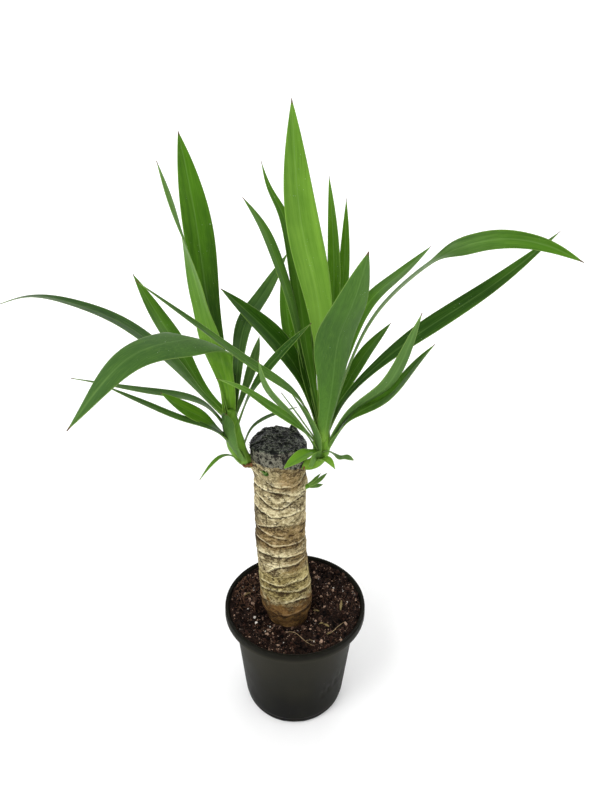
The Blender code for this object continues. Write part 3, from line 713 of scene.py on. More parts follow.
# %% The wax's torn edge and wrinkled face
GAP, WAX, WAX_BULK = 0.3, 1.6, 0.3
WAX_EDGE, WAX_EDGE_DROP, WAX_EDGE_RISE = 341.5, 7.0, 3.0
SNAG_PLACE, SNAG_WIDTH, SNAG_HEIGHT, RIM_SLUMP = (-4.0, 24.5), 3.4, 9.5, 5.0
BLISTERS = [  # place across and back, width and height in mm
    (-27, -8, 3.4, 0.9), (-11, -10, 4.6, 1.2), (-33, 6, 2.8, 0.7), (-20, 2, 3.0, 0.9),
    (-14, 12, 3.2, 0.7), (-36, -6, 2.6, 0.8), (-22, 18, 3.6, 0.8)]


def wax_edge(angle):
    """Height of the wax coat's lower edge: tilted, wavy and torn."""
    drop = WAX_EDGE_DROP * np.maximum(np.cos(angle), 0) ** 1.5
    rise = WAX_EDGE_RISE * bell(angle, pi, 0.5)
    circle = 28 * np.column_stack([outwards(angle), 0 * angle])
    torn = 1.1 * grain(circle, 5.0, 41) + 0.8 * grain(circle, 1.6, 42)
    return WAX_EDGE - drop + rise + np.sin(3 * angle + 0.7) + torn


def wrinkles(points, seed):
    """Sharp ridges from -1.5 to 1.5: smooth values folded where they cross zero."""
    folds = 1 - 2 * np.abs(grain(points, 5.2, seed) + 0.35 * grain(points, 2.2, seed + 1))
    return folds + 0.5 * (1 - 2 * np.abs(grain(points, 2.3, seed + 2)))


def wax_top(x, y):
    """How far the wax face stands above its plain level."""
    flat = np.stack([x, y, 0 * x], axis=-1)
    height = 0.85 * wrinkles(flat, 43) + 0.9 * grain(flat, 13.0, 46)
    for bx, by, size, tall in BLISTERS:
        away = np.hypot(x - bx, y - by) / size
        height = height + tall * bell(away, 0.75, 0.28) - 0.5 * tall * bell(away, 0, 0.5)
    away = np.hypot(x - SNAG_PLACE[0], 1.3 * (y - SNAG_PLACE[1]))
    aside = np.abs(x - trunk_middle(np.array(TRUNK_TOP))[0]) / TRUNK_RADIUS
    return height - RIM_SLUMP * step(0.45, 1.05, aside) + SNAG_HEIGHT * bell(away, 0, SNAG_WIDTH)


print("wax edge from", wax_edge(angles_round(90)).min().round(1), "mm up")

# %% [markdown]
# The wax is one skin again: from the middle of the face to the edge, down the outside and back up
# inside. The inside is hidden, but it gives the torn lower edge a real thickness, which a flat sheet or
# a Solidify modifier would not follow as well. Each point's fold and side are stored for the finish.

# %% Skin of the wax
WAX_SIDES, FACE_ROWS, BAND_ROWS = 260, 46, 30


def make_wax():
    """Rows of points from the middle of the face round to the inside, each with its folds and its side."""
    angle = angles_round(WAX_SIDES)
    out, edge = outwards(angle), wax_edge(angle)
    top, inner = TRUNK_TOP + GAP + WAX, TRUNK_RADIUS + GAP
    outer = inner + WAX + WAX_BULK
    rows = []
    for radius in np.linspace(1.0, outer - 1.2, FACE_ROWS):
        flat = trunk_middle(np.full(WAX_SIDES, top)) + radius * out
        z = top - 0.6 + wax_top(flat[:, 0], flat[:, 1])
        rows.append((np.column_stack([flat, z]), wrinkles(np.column_stack([flat, 0 * z]), 43), 0 * z))
    rim = z
    for share in np.linspace(0, 1, BAND_ROWS):
        z = (rim - 1.2) * (1 - share) + edge * share
        flat = trunk_middle(z) + outer * out
        folds = wrinkles(np.column_stack([flat, z]), 51)
        rough = 0.55 * folds - 0.5 * share ** 6 - 0.45
        flat += rough[:, None] * out
        rows.append((np.column_stack([flat, z]), folds, step(0.0, 0.12, share) + 0 * z))
    for z, slimmer in ((edge + 0.2, 0.0), (TRUNK_TOP - 12.0 + 0 * edge, 0.0),
                       (TRUNK_TOP - 5.0 + 0 * edge, 4.0), (TRUNK_TOP - 3.0 + 0 * edge, 24.0)):
        flat = trunk_middle(z) + (inner - slimmer) * out
        rows.append((np.column_stack([flat, z]), 0 * z - 1, 0 * z + 1))
    points, folds, side = (np.array(values) for values in zip(*rows))
    wax = skin("wax_coat", points)
    store(wax, "side", side)
    store(wax, "ridge", 0.5 + 0.5 * folds)
    return wax


wax = make_wax()
print("skin of the wax:", len(wax.data.vertices), "points")

# %% [markdown]
# The face is nearly black and a little greasy, so its ridges catch the light. The side band is
# greyer and drier, with dark grit in it. Two materials on two sets of faces would meet in a hard line,
# so one finish blends from face to side by a stored number, and another stored number paints the ridges
# lighter: partly grey flecks in the wax, and partly a painted highlight on the ridges.

# %% Wax
# the ridge grey is partly flecks in the wax and partly a painted highlight
WAX_BLACK, CREST_HIGHLIGHT_GREY = (0.003, 0.004, 0.003), (0.27, 0.295, 0.215)
GRIT_BLACK, DRY_GREY = (0.010, 0.009, 0.008), (0.19, 0.185, 0.14)


def make_wound_wax():
    finish = finish_named("wound_wax")
    side = stored(finish, "side")
    fleck = between(finish, spots(finish, 1.7, 5.0, 0.75), 0.48, 0.66)
    # painted highlight: flecks on the ridges of the face, partly grey in the wax
    crest_highlight = maths(finish, "MULTIPLY", between(finish, stored(finish, "ridge"), 0.50, 1.0), fleck)
    face = blend_colour(finish, crest_highlight, WAX_BLACK, CREST_HIGHLIGHT_GREY)
    upright = add(finish, "Mapping", {"Vector": add(finish, "TexCoord").outputs["Object"],
                                      "Scale": (1.3, 1.3, 0.7)}).outputs["Vector"]
    grit = maths(finish, "ADD", maths(finish, "MULTIPLY", stored(finish, "ridge"), 0.25),
                 maths(finish, "MULTIPLY", spots(finish, 1.8, 5.0, 0.78, upright), 0.75))
    dry = blend_colour(finish, between(finish, grit, 0.49, 0.68), GRIT_BLACK, DRY_GREY)
    wire(finish, blend_colour(finish, side, face, dry), "Base Color")
    wire(finish, between(finish, side, 0.0, 1.0, 0.34, 0.80), "Roughness")
    shine(finish, 0.10)
    bump(finish, spots(finish, 1.0, 5.0, 0.7), 0.8, 0.5)
    return finish


put(wax, make_wound_wax(), "wound_wax", "wax_cap")

# %% [markdown]
# ## The soil
#
# Potting soil is a bed of dark peat with countless crumbs on it. The bed alone would look like
# cloth, so it is a finely bumped skin here, and crumbs are strewn over it later. It fills the pot down
# to the floor, with a plain hole for the cane, because the CAD's soil is a solid too. It dips round the
# cane, banks up at the wall and has a few hollows, as the photo shows.

# %% The bed
SOIL_LEVEL, SOIL_BANK, SOIL_BANK_REACH = 133.5, 3.0, (60.0, 77.0)
SOIL_DIP, SOIL_DIP_REACH = 8.5, (24.0, 52.0)
SOIL_HOLLOWS = [  # place across and back, width and depth in mm
    (50, -26, 8, 4.5), (-66, -6, 8, 4.0), (-44, -4, 6, 4.0), (10, -66, 9, 2.0), (38, -14, 5, 2.5)]
SOIL_SIDES, SOIL_ROWS = 360, 96


def soil_height(x, y, rough=1.0):
    """The soil's uneven top, lower close to the cane and in a few hollows."""
    middle = trunk_middle(np.array(SOIL_LEVEL))
    away = np.hypot(x - middle[0], y - middle[1])
    z = SOIL_LEVEL + 0.9 * np.sin(0.11 * x + 0.5) * np.cos(0.13 * y) + 0.5 * np.sin(0.31 * x - 0.27 * y)
    z = z - SOIL_DIP * (1 - step(*SOIL_DIP_REACH, away)) + SOIL_BANK * step(*SOIL_BANK_REACH, np.hypot(x, y))
    for hx, hy, size, deep in SOIL_HOLLOWS:
        z = z - deep * bell(np.hypot(x - hx, y - hy), 0, size)
    flat = np.stack([x, y, 0 * x], axis=-1)
    return z + rough * (0.9 * grain(flat, 7.0, 61) + 0.7 * grain(flat, 3.1, 62) + 0.45 * grain(flat, 1.5, 63))


def shaded(x, y):
    """1 in the middle of a hollow and 0 outside it, for the painted shade on the crumbs there."""
    total = 0 * x
    for hx, hy, size, _ in SOIL_HOLLOWS:
        total = np.maximum(total, np.exp(-(np.hypot(x - hx, y - hy) / size) ** 4))
    return total


def mouth_inside(z):
    """The pot's inner radius between its shoulder and its mouth."""
    share = (z - SHOULDER_HEIGHT) / (POT_HEIGHT - MOUTH_DEPTH - SHOULDER_HEIGHT)
    return SHOULDER_RADIUS - WALL + (MOUTH_RADIUS - MOUTH_DRAFT - SHOULDER_RADIUS + WALL) * share


def make_soil():
    out = outwards(angles_round(SOIL_SIDES))
    wall = mouth_inside(135.5) - 0.4
    rows = []
    for z in (TRUNK_FOOT - GAP, 90.0, 112.0):
        level = np.full(SOIL_SIDES, z)
        rows.append(np.column_stack([trunk_middle(level) + (trunk_body(z) + 0.5) * out, level]))
    start = trunk_middle(np.full(SOIL_SIDES, NECK_HEIGHT)) + (trunk_body(NECK_HEIGHT) + 0.5) * out
    for share in np.linspace(0, 1, SOIL_ROWS):
        flat = start * (1 - share) + wall * out * share
        rows.append(np.column_stack([flat, soil_height(flat[:, 0], flat[:, 1])]))
    for radius, z in ((SHOULDER_RADIUS - WALL - GAP - 0.4, SHOULDER_HEIGHT),
                      (SHOULDER_RADIUS - WALL - GAP - 0.6, 124.0), (FOOT_RADIUS - WALL - GAP - 0.5, 12.0),
                      (BASE_RADIUS - 7.0, 5.0), (2.0, 5.0)):
        rows.append(np.column_stack([radius * out, np.full(SOIL_SIDES, z)]))
    return skin("soil_bed", rows)


soil = make_soil()
print("bed:", len(soil.data.vertices), "points")

# %% [markdown]
# Dark peat looks brown in the light and nearly black in its pores. A photo of soil could be wrapped on,
# but the finish mixes three browns by noise instead, and its bump is strong because wet peat sparkles.
# The same function, with other browns, later colours roots, threads, scraps and chips.

# %% Peat


def make_peat(name, dark, middle, light, size):
    finish = finish_named(name)
    noise = spots(finish, size, 5.0, 0.7)
    colour = blend_colour(finish, between(finish, noise, 0.34, 0.54), dark, middle)
    colour = blend_colour(finish, between(finish, noise, 0.56, 0.72), colour, light)
    wire(finish, colour, "Base Color")
    wire(finish, between(finish, spots(finish, 3.0), 0.35, 0.65, 0.62, 0.95), "Roughness")
    shine(finish, 0.1)
    bump(finish, spots(finish, 0.8, 5.0, 0.7), 0.6, 0.4)
    return finish


PEAT = make_peat("potting_soil", (0.0025, 0.0012, 0.0010), (0.014, 0.0065, 0.0040), (0.07, 0.035, 0.020), 2.2)
put(soil, PEAT, "potting_soil", "soil")

# %% [markdown]
# Loose crumbs make the soil read as soil. Particle systems and instances could strew them, but plain
# mesh code keeps every crumb where the seed puts it, and each one is real geometry. Each is a ball
# pushed out of shape, and all crumbs of one kind are one mesh.

# %% Crumbs, strewn by one seeded random source
STREW = np.random.default_rng(17)
STREW_REACH, CRUMB_STRETCH = 78.5, np.array([1, 0.8, 0.6])
COARSE_CRUMBS, FINE_CRUMBS = 1300, 8600
Lump = namedtuple("Lump", "place size stretch")


def soil_place(inner=1.5):
    """A random place on the soil, clear of the cane and the wall."""
    while True:
        x, y = STREW.uniform(-STREW_REACH - 0.5, STREW_REACH + 0.5, 2)
        clear = np.hypot(*(trunk_middle(np.array(128.0)) - (x, y))) > trunk_body(128.0) + inner
        if clear and np.hypot(x, y) < STREW_REACH:
            return np.array([x, y, float(soil_height(np.array(x), np.array(y), 0.7))])


def unit_ball(subdivisions):
    """Points and triangles of a ball of radius 1."""
    shape = bmesh.new()
    bmesh.ops.create_icosphere(shape, subdivisions=subdivisions, radius=1.0)
    points = np.array([v.co[:] for v in shape.verts])
    faces = np.array([[v.index for v in face.verts] for face in shape.faces])
    shape.free()
    return points, faces


def turn_by(angles):
    return np.array(Euler(angles).to_matrix())


def lumps(name, parts, subdivisions, uneven=0.35):
    """Many small lumps as one mesh: each is a ball pushed out of shape and turned at random."""
    ball, triangles = unit_ball(subdivisions)
    points, faces, tone = [], [], []
    for part in parts:
        shape = ball * (1 + uneven * STREW.uniform(-1, 1, (len(ball), 1))) * part.stretch
        shape = shape @ turn_by(STREW.uniform(0, 2 * pi, 3)).T * part.size
        faces.append(triangles + len(points) * len(ball))
        points.append(shape + part.place)
        # painted shade: crumbs in the hollows get a lower tone
        lit = 1 - 0.85 * float(shaded(*part.place[:2]))
        tone.append(np.full(len(ball), lit * STREW.uniform(0, 1)))
    piece = mesh_piece(name, np.concatenate(points), np.concatenate(faces).tolist())
    piece.data.shade_flat()
    store(piece, "tone", np.concatenate(tone))
    return piece


def strewn(count, small, large):
    """Lumps at random places, most of them small."""
    sizes = small + (large - small) * STREW.uniform(0, 1, count) ** 2.5
    return [Lump(soil_place() + (0, 0, 0.25 * size), size, CRUMB_STRETCH) for size in sizes]


coarse = lumps("soil_crumbs_coarse", strewn(COARSE_CRUMBS, 0.8, 2.5), 2)
fine = lumps("soil_crumbs_fine", strewn(FINE_CRUMBS, 0.35, 0.95), 1)
print(COARSE_CRUMBS, "coarse crumbs and", FINE_CRUMBS, "fine ones")

# %% [markdown]
# Each crumb got a random tone of its own in the last cell, lowered in the hollows as painted shade. A
# finish for each kind would be many materials, so one finish reads that tone, and neighbours differ from
# one another as real crumbs of bark, peat and root do. The palest crumbs stand partly for pale grains
# and partly for painted glints of wet peat.

# %% Crumb finish
CRUMB_DARK, CRUMB_BROWN = (0.0020, 0.0010, 0.0009), (0.056, 0.025, 0.016)
# the pale crumb colour is partly pale grains and partly painted glints of wet peat
CRUMB_PALE_GLINT, CRUMB_SPOT = (0.42, 0.28, 0.20), (0.005, 0.0025, 0.002)


def make_crumb_finish():
    finish = finish_named("soil_crumbs")
    tone = stored(finish, "tone")
    noise = spots(finish, 1.5, 4.0)
    colour = blend_colour(finish, between(finish, tone, 0.30, 0.90), CRUMB_DARK, CRUMB_BROWN)
    # painted glints: the lightest crumbs turn pale
    colour = blend_colour(finish, between(finish, tone, 0.85, 0.97), colour, CRUMB_PALE_GLINT)
    colour = blend_colour(finish, between(finish, noise, 0.48, 0.75), colour, CRUMB_SPOT)
    wire(finish, colour, "Base Color")
    wire(finish, between(finish, tone, 0.0, 1.0, 0.95, 0.5), "Roughness")
    shine(finish, 0.1)
    bump(finish, spots(finish, 0.6, 3.0), 0.4, 0.2)
    return finish


CRUMBS = make_crumb_finish()
for piece in (coarse, fine):
    put(piece, CRUMBS, "potting_soil", "soil")

# %% [markdown]
# White grains of perlite lighten the mix. They are lumps again, rounder than the crumbs. The larger ones
# stand where the photo shows them, and the rest are strewn.

# %% Perlite
GRAIN_STRETCH = np.array([1, 0.9, 0.8])
PERLITE = [(-48, -20, 1.7), (-45, -31, 1.9), (-29, -31, 1.1), (-34, -44, 1.0), (48, 27, 1.4), (-57, -8, 0.9),
           (64, 2, 0.9), (22, -58, 0.9), (-12, -60, 0.8), (60, 22, 0.8), (30, 44, 0.8), (-52, 22, 0.8)]


def on_soil(x, y, lift=0.4):
    """A point a little above the soil."""
    return np.array([x, y, float(soil_height(np.array(float(x)), np.array(float(y)), 0.7)) + lift])


def make_perlite_white():
    finish = finish_named("perlite_white")
    white = blend_colour(finish, spots(finish, 0.8), (0.80, 0.77, 0.72), (0.58, 0.53, 0.46))
    wire(finish, white, "Base Color")
    shader_of(finish).inputs["Roughness"].default_value = 0.9
    return finish


grains = [Lump(on_soil(x, y, 0.5 * size), size, GRAIN_STRETCH) for x, y, size in PERLITE]
grains += [Lump(soil_place(), size, GRAIN_STRETCH) for size in STREW.uniform(0.3, 0.55, 70)]
put(lumps("perlite", grains, 2, 0.22), make_perlite_white(), "potting_soil", "soil")

# %% [markdown]
# Strands of coir and root lie all over the soil, and thicker ones at the left. Hair particles are
# dropped by the export, so a strand is a thin tube along a wandering line that stays just above the
# soil and dips into it at both ends.

# %% Strands
WANDER_POINTS, LOOSE_STRANDS, LEFT_STRANDS, STRAND_REACH = 12, 190, 150, 77.0


def strand_rings(points, radius, corners=6):
    """Rings of a thin tube along a line that tapers at both ends."""
    ahead = unit(np.gradient(points, axis=0))
    side = unit(np.cross(ahead, (0.13, 0.21, 0.97)))
    up = np.cross(ahead, side)
    taper = np.sin(np.linspace(0.35, pi - 0.35, len(points)))[:, None, None] * radius
    angle = angles_round(corners)[None, :, None]
    return points[:, None] + taper * (side[:, None] * np.cos(angle) + up[:, None] * np.sin(angle))


def bundle(name, tubes):
    """Several tubes as one mesh."""
    points, faces, start = [], [], 0
    for rings in tubes:
        rows, corners = rings.shape[:2]
        points += [rings.reshape(-1, 3), rings[0].mean(0)[None], rings[-1].mean(0)[None]]
        faces += ring_faces(rows, corners, start)
        start += rows * corners + 2
    return mesh_piece(name, np.concatenate(points), faces)


def wandering(start, heading, length, lift):
    """A strand's middle line: it bends over the soil and dips back into it at both ends."""
    curl = STREW.uniform(-1, 1) * 1.2 / WANDER_POINTS
    points, here = [], np.array(start[:2])
    for share in np.linspace(0, 1, WANDER_POINTS):
        points.append(on_soil(*here, lift * sin(pi * share)))
        heading += curl + STREW.normal(0, 0.06)
        here = here + length / WANDER_POINTS * outwards(heading)
        here *= min(1.0, STRAND_REACH / np.hypot(*here))
    points = np.array(points)
    points[:, 2] = np.convolve(np.pad(points[:, 2], 2, mode="edge"), np.ones(5) / 5, mode="valid") + 0.3
    return points


strands = []
for length in STREW.uniform(3, 11, LOOSE_STRANDS):
    line = wandering(soil_place(4), STREW.uniform(0, 2 * pi), length, STREW.uniform(0.3, 1.6))
    strands.append(strand_rings(line, STREW.uniform(0.14, 0.30)))
places = [(STREW.uniform(-74, -38), STREW.uniform(-8, 48)) for _ in range(LEFT_STRANDS)]
for place in places:
    line = wandering(place, STREW.uniform(0, 2 * pi), STREW.uniform(3, 8), STREW.uniform(0.4, 2.2))
    strands.append(strand_rings(line, STREW.uniform(0.28, 0.55)))
COIR = make_peat("coir", (0.025, 0.011, 0.007), (0.11, 0.058, 0.034), (0.36, 0.23, 0.14), 5.0)
put(bundle("coir_strands", strands), COIR, "potting_soil", "soil")

# %% [markdown]
# Three pale threads, six scraps of dead leaf and a few chips of bark catch the eye in the photo, so they
# are placed one by one, about where it shows them, among smaller chips that are strewn. A scrap is a
# strand pressed flat, which is quicker than a leaf of its own and curls as a dry scrap does.

# %% Pale threads, leaf scraps and bark chips


def thread(places, lift):
    """A smooth line over places on the soil, lifted a little at each."""
    shares = np.linspace(0, 1, 26)
    return spline([on_soil(x, y, h) for (x, y), h in zip(places, lift)], shares)


LONG_THREADS = [  # places on the soil, how far above it each is, and the thread's radius
    ([(-11, -40), (-6, -41), (4, -50), (12, -58), (21, -64)], (0.6, 1.6, 1.8, 1.2, 0.7), 0.30),
    ([(34, -46), (41, -45), (49, -38), (60, -28)], (0.6, 1.4, 2.0, 1.0), 0.32),
    ([(12, -58), (17, -57), (24, -60)], (0.8, 1.4, 0.6), 0.22)]
threads = [strand_rings(thread(places, lift), thick) for places, lift, thick in LONG_THREADS]
THREAD = make_peat("dry_thread", (0.20, 0.12, 0.06), (0.42, 0.32, 0.18), (0.62, 0.52, 0.34), 4.0)
put(bundle("pale_threads", threads), THREAD, "potting_soil", "soil")


def scrap(place, heading, length, width, tilt):
    """A curled scrap of dead leaf as flattened rings."""
    share = np.linspace(0, 1, 14)
    middle = np.array(place) + np.outer((share - 0.5) * length, (*outwards(heading), tilt))
    middle[:, 2] += 0.9 * np.sin(pi * share)
    rings = strand_rings(middle, 0.5 * width, 10)
    centre = rings.mean(axis=1, keepdims=True)
    flat = rings - centre
    flat[..., 2] *= 0.18
    return centre + flat


scraps = bundle("leaf_scraps", [
    scrap(on_soil(56, -3, 1.6), 1.45, 17, 3.2, 0.10), scrap(on_soil(37, -35, 1.4), -0.7, 8, 3.0, 0.15),
    scrap(on_soil(31, -32, 1.2), 0.3, 5, 2.2, 0.0), scrap(on_soil(40, -46, 1.2), 0.5, 4.5, 2.6, 0.1),
    scrap(on_soil(26, -6, 1.3), -0.2, 8, 2.4, 0.05), scrap(on_soil(-60, 14, 1.5), 0.5, 9, 2.6, 0.1)])
SCRAP = make_peat("dry_leaf", (0.10, 0.07, 0.028), (0.22, 0.17, 0.075), (0.42, 0.35, 0.17), 3.0)
put(scraps, SCRAP, "potting_soil", "soil")
CHIP_PLACES = [((10, -33), 4.0), ((-36, 22), 3.2), ((-50, 6), 3.4), ((30, -24), 3.0)]
chips = [Lump(on_soil(*place, 1.0), size, np.array([1, 0.85, 0.65])) for place, size in CHIP_PLACES]
chips += [Lump(soil_place(3), size, np.array([1, 0.55, 0.35])) for size in STREW.uniform(1.8, 3.6, 60)]
chips = lumps("bark_chips", chips, 2, 0.16)
CHIP = make_peat("bark_chip", (0.022, 0.011, 0.008), (0.080, 0.045, 0.030), (0.21, 0.135, 0.095), 3.0)
put(chips, CHIP, "potting_soil", "soil")

# %% [markdown]
# Where the left head breaks out of the cane the plant has healed over with rusty lumps of callus, and
# there is a little under the right head too. The torn wax beside it has frayed into stiff fibres. Both
# are made with the lumps and strands of the soil, gathered round measured points.

# %% Callus and frayed wax
FIBRES, FIBRE_ANGLES, FIBRE_RING = 34, (radians(172), radians(232)), 30.5
CALLUS_BLOBS = [((-52, -7, 339), 5.0, 26), ((-54, -9, 335), 3.0, 12), ((-49, -12, 338), 3.0, 10),
                ((9, -12, 336), 2.0, 5)]
callus = []
for middle, spread, count in CALLUS_BLOBS:
    for _ in range(count):
        place = np.array(middle) + STREW.normal(0, 0.42 * spread, 3)
        callus.append(Lump(place, STREW.uniform(0.9, 2.1), np.array([1, 0.8, 0.8])))
callus = lumps("callus", callus, 2, 0.12)
callus.data.shade_smooth()
CALLUS = make_peat("callus", (0.05, 0.022, 0.010), (0.20, 0.095, 0.040), (0.46, 0.31, 0.16), 3.0)
put(callus, CALLUS, "cane_bark", "trunk")

fibres = []
for _ in range(FIBRES):
    angle = STREW.uniform(*FIBRE_ANGLES)
    out = np.array([*outwards(angle), 0])
    start = np.array([-19.5, 3, STREW.uniform(341, 357)]) + FIBRE_RING * out
    heading = 0.5 * out + STREW.uniform(-1, 1, 3)
    reach = np.linspace(0, STREW.uniform(1.0, 2.6), 7)[:, None]
    fibres.append(strand_rings(start + reach * unit(heading) + 0.04 * reach ** 2 * (0, 0, 1), 0.3))
fibres = bundle("frayed_wax", fibres)
FRAYED = make_peat("frayed_wax", (0.02, 0.02, 0.016), (0.10, 0.10, 0.075), (0.32, 0.31, 0.24), 2.5)
put(fibres, FRAYED, "wound_wax", "wax_cap")

# %% [markdown]
# ## The leaves
#
# A yucca leaf is a stiff sword: it clasps the stem, narrows to a neck, widens to a belly and ends in
# a brown point. Its two halves bend up a little from the midrib, so it is a shallow channel. One leaf
# could be modelled and copied, but no two here are alike. So a table describes each one by a few points
# measured in the photo and a few plain numbers, and one function turns every line of it into a leaf.

# %% How a leaf is described, and the left head's leaves
Leaf = namedtuple("Leaf", "seat knees tip width tone grey roll cup belly fold blunt neck",
                  defaults=[(0, 0, 0), 22, 0.57, 0.8, 2, 0.42])
# seat is the height where it leaves the stem, or the point itself, knees and tip lie on its midrib, and
# width is its widest. tone is how light a green it is and grey how grey and matt, from 0 to 1, as one
# number or as several from root to tip. Besides each leaf's own colour, tone holds painted light and
# shade, lower where a leaf stands in shade, and grey holds a painted grey sheen on parts of some leaves
# as well as greyer undersides. roll turns it about its midrib, cup is how far each half bends up, and
# belly is the share of its length where it is widest. fold is 1 for a round channel and near 0 for one
# creased at the midrib, a larger blunt rounds the tip, and neck is its width just above the stem.

LEFT_STEM = [(-40, -1, 331), (-54, -3, 338), (-61, -4, 349), (-66, -5, 370), (-67, -5, 398)]
LEFT_RADII = [6.5, 8.0, 10.0, 8.0, 4.5]
LEFT_TUBE_RADII = [5.2, 7.6, 10.0, 8.0, 4.0]
LEFT_LEAVES = {
    "tall_back": Leaf(388, [(-78, 15, 434), (-91, 35, 492), (-104, 65, 571)], (-122, 95, 658), 33,
                      (.7, .22, .34, .40), (0, 0, .05), cup=28, belly=0.64, fold=0.6),
    "front_twisting": Leaf(384, [(-77, 5, 427), (-90, 12, 482), (-107, 18, 560)], (-129, 22, 633), 25,
                           (.8, .65, .55), (0, .2, .55), (0, -110, -190), belly=0.40),
    "blue_back": Leaf(384, [(-61, 15, 439), (-56, 45, 473), (-40, 80, 495)], (-13, 120, 535), 21, .18, .50,
                      fold=0.5),
    "pale_back": Leaf(386, [(-52, 45, 417)], (-45, 100, 443), 12, .45, .55),
    "towards_right": Leaf(378, [(-52, -3, 406), (-40, -7, 430), (-14, -12, 465)], (13, -10, 493), 13,
                          (.45, .05, .0), (.4, .1, .05), (0, 35, 35)),
    "thin_over_wax": Leaf(350, [(-48, 10, 370), (-23, 20, 382)], (0, 25, 388), 7, .25, .25),
    "far_left_arch": Leaf(384,
                          [(-95, 5, 406), (-117, 10, 431), (-177, 25, 478), (-225, 30, 497), (-276, 30, 504)],
                          (-302, 25, 497), 22, (.45, .25, .15, .05, .0), (.1, .35, .5, .6, .7), (0, -6, 0),
                          belly=0.32, blunt=2.8),
    "steep_left": Leaf(386, [(-103, 30, 409), (-131, 60, 441), (-155, 90, 463)], (-193, 130, 507), 23, .35,
                       .1),
    "broad_drooping": Leaf(378,
                           [(-70, 3, 416), (-74, 5, 437), (-76, -4, 458), (-78, -26, 474),
                            (-86, -55, 490), (-102, -85, 498), (-129, -120, 497), (-155, -150, 472)],
                           (-170, -160, 453), 38, (.85, .62, .14, .0), (0, .05, .32, .05),
                           (190, 195, 182, 154, 158, 175), belly=0.42, neck=0.48),
    "low_left": Leaf(372, [(-94, -15, 409), (-133, -25, 425), (-178, -35, 437)], (-210, -45, 448), 12, .25,
                     .55, (0, -15, 0), belly=0.35, neck=0.75),
    "low_broad": Leaf(364, [(-95, -22, 397), (-111, -30, 411)], (-129, -40, 432), 19, .62, .0, (0, -35, -35)),
    "low_thin": Leaf(356, [(-80, -25, 383), (-111, -40, 405), (-136, -55, 425)], (-169, -75, 454), 9.5, .25,
                     .35, (0, -25, -25), neck=0.8),
    "cut_short": Leaf((-57, -9, 338), [(-63, -14, 352), (-69, -17, 365), (-72, -19, 378), (-72, -20, 390)],
                      (-71, -20, 401), 27, (.8, .50, .25), (.1, .45, .35), cup=32, belly=0.6, blunt=8,
                      neck=0.62),
    "low_hook": Leaf((-60, -10, 338), [(-67, -22, 354), (-75, -32, 359)], (-96, -50, 342), 5.5, .55, .0),
    "wax_side": Leaf((-55, -6, 338), [(-57, -6, 350)], (-60, -4, 372), 8, (.5, .1), .1, cup=45, blunt=3),
    "yellow_foot": Leaf((-54, -8, 334), [(-57, -11, 343)], (-60, -12, 356), 14, (1, .8), .0, cup=50, blunt=4,
                        neck=0.7),
}
print(len(LEFT_LEAVES), "leaves in the left head")

# %% [markdown]
# The right head is fuller. Its tallest leaf stands nearly upright, a broad one faces the camera, and a
# long wavy one twists so that its edge turns to the front. The points at the back are partly guessed,
# because a single photo shows how far along a line of sight a leaf reaches only by what it overlaps.

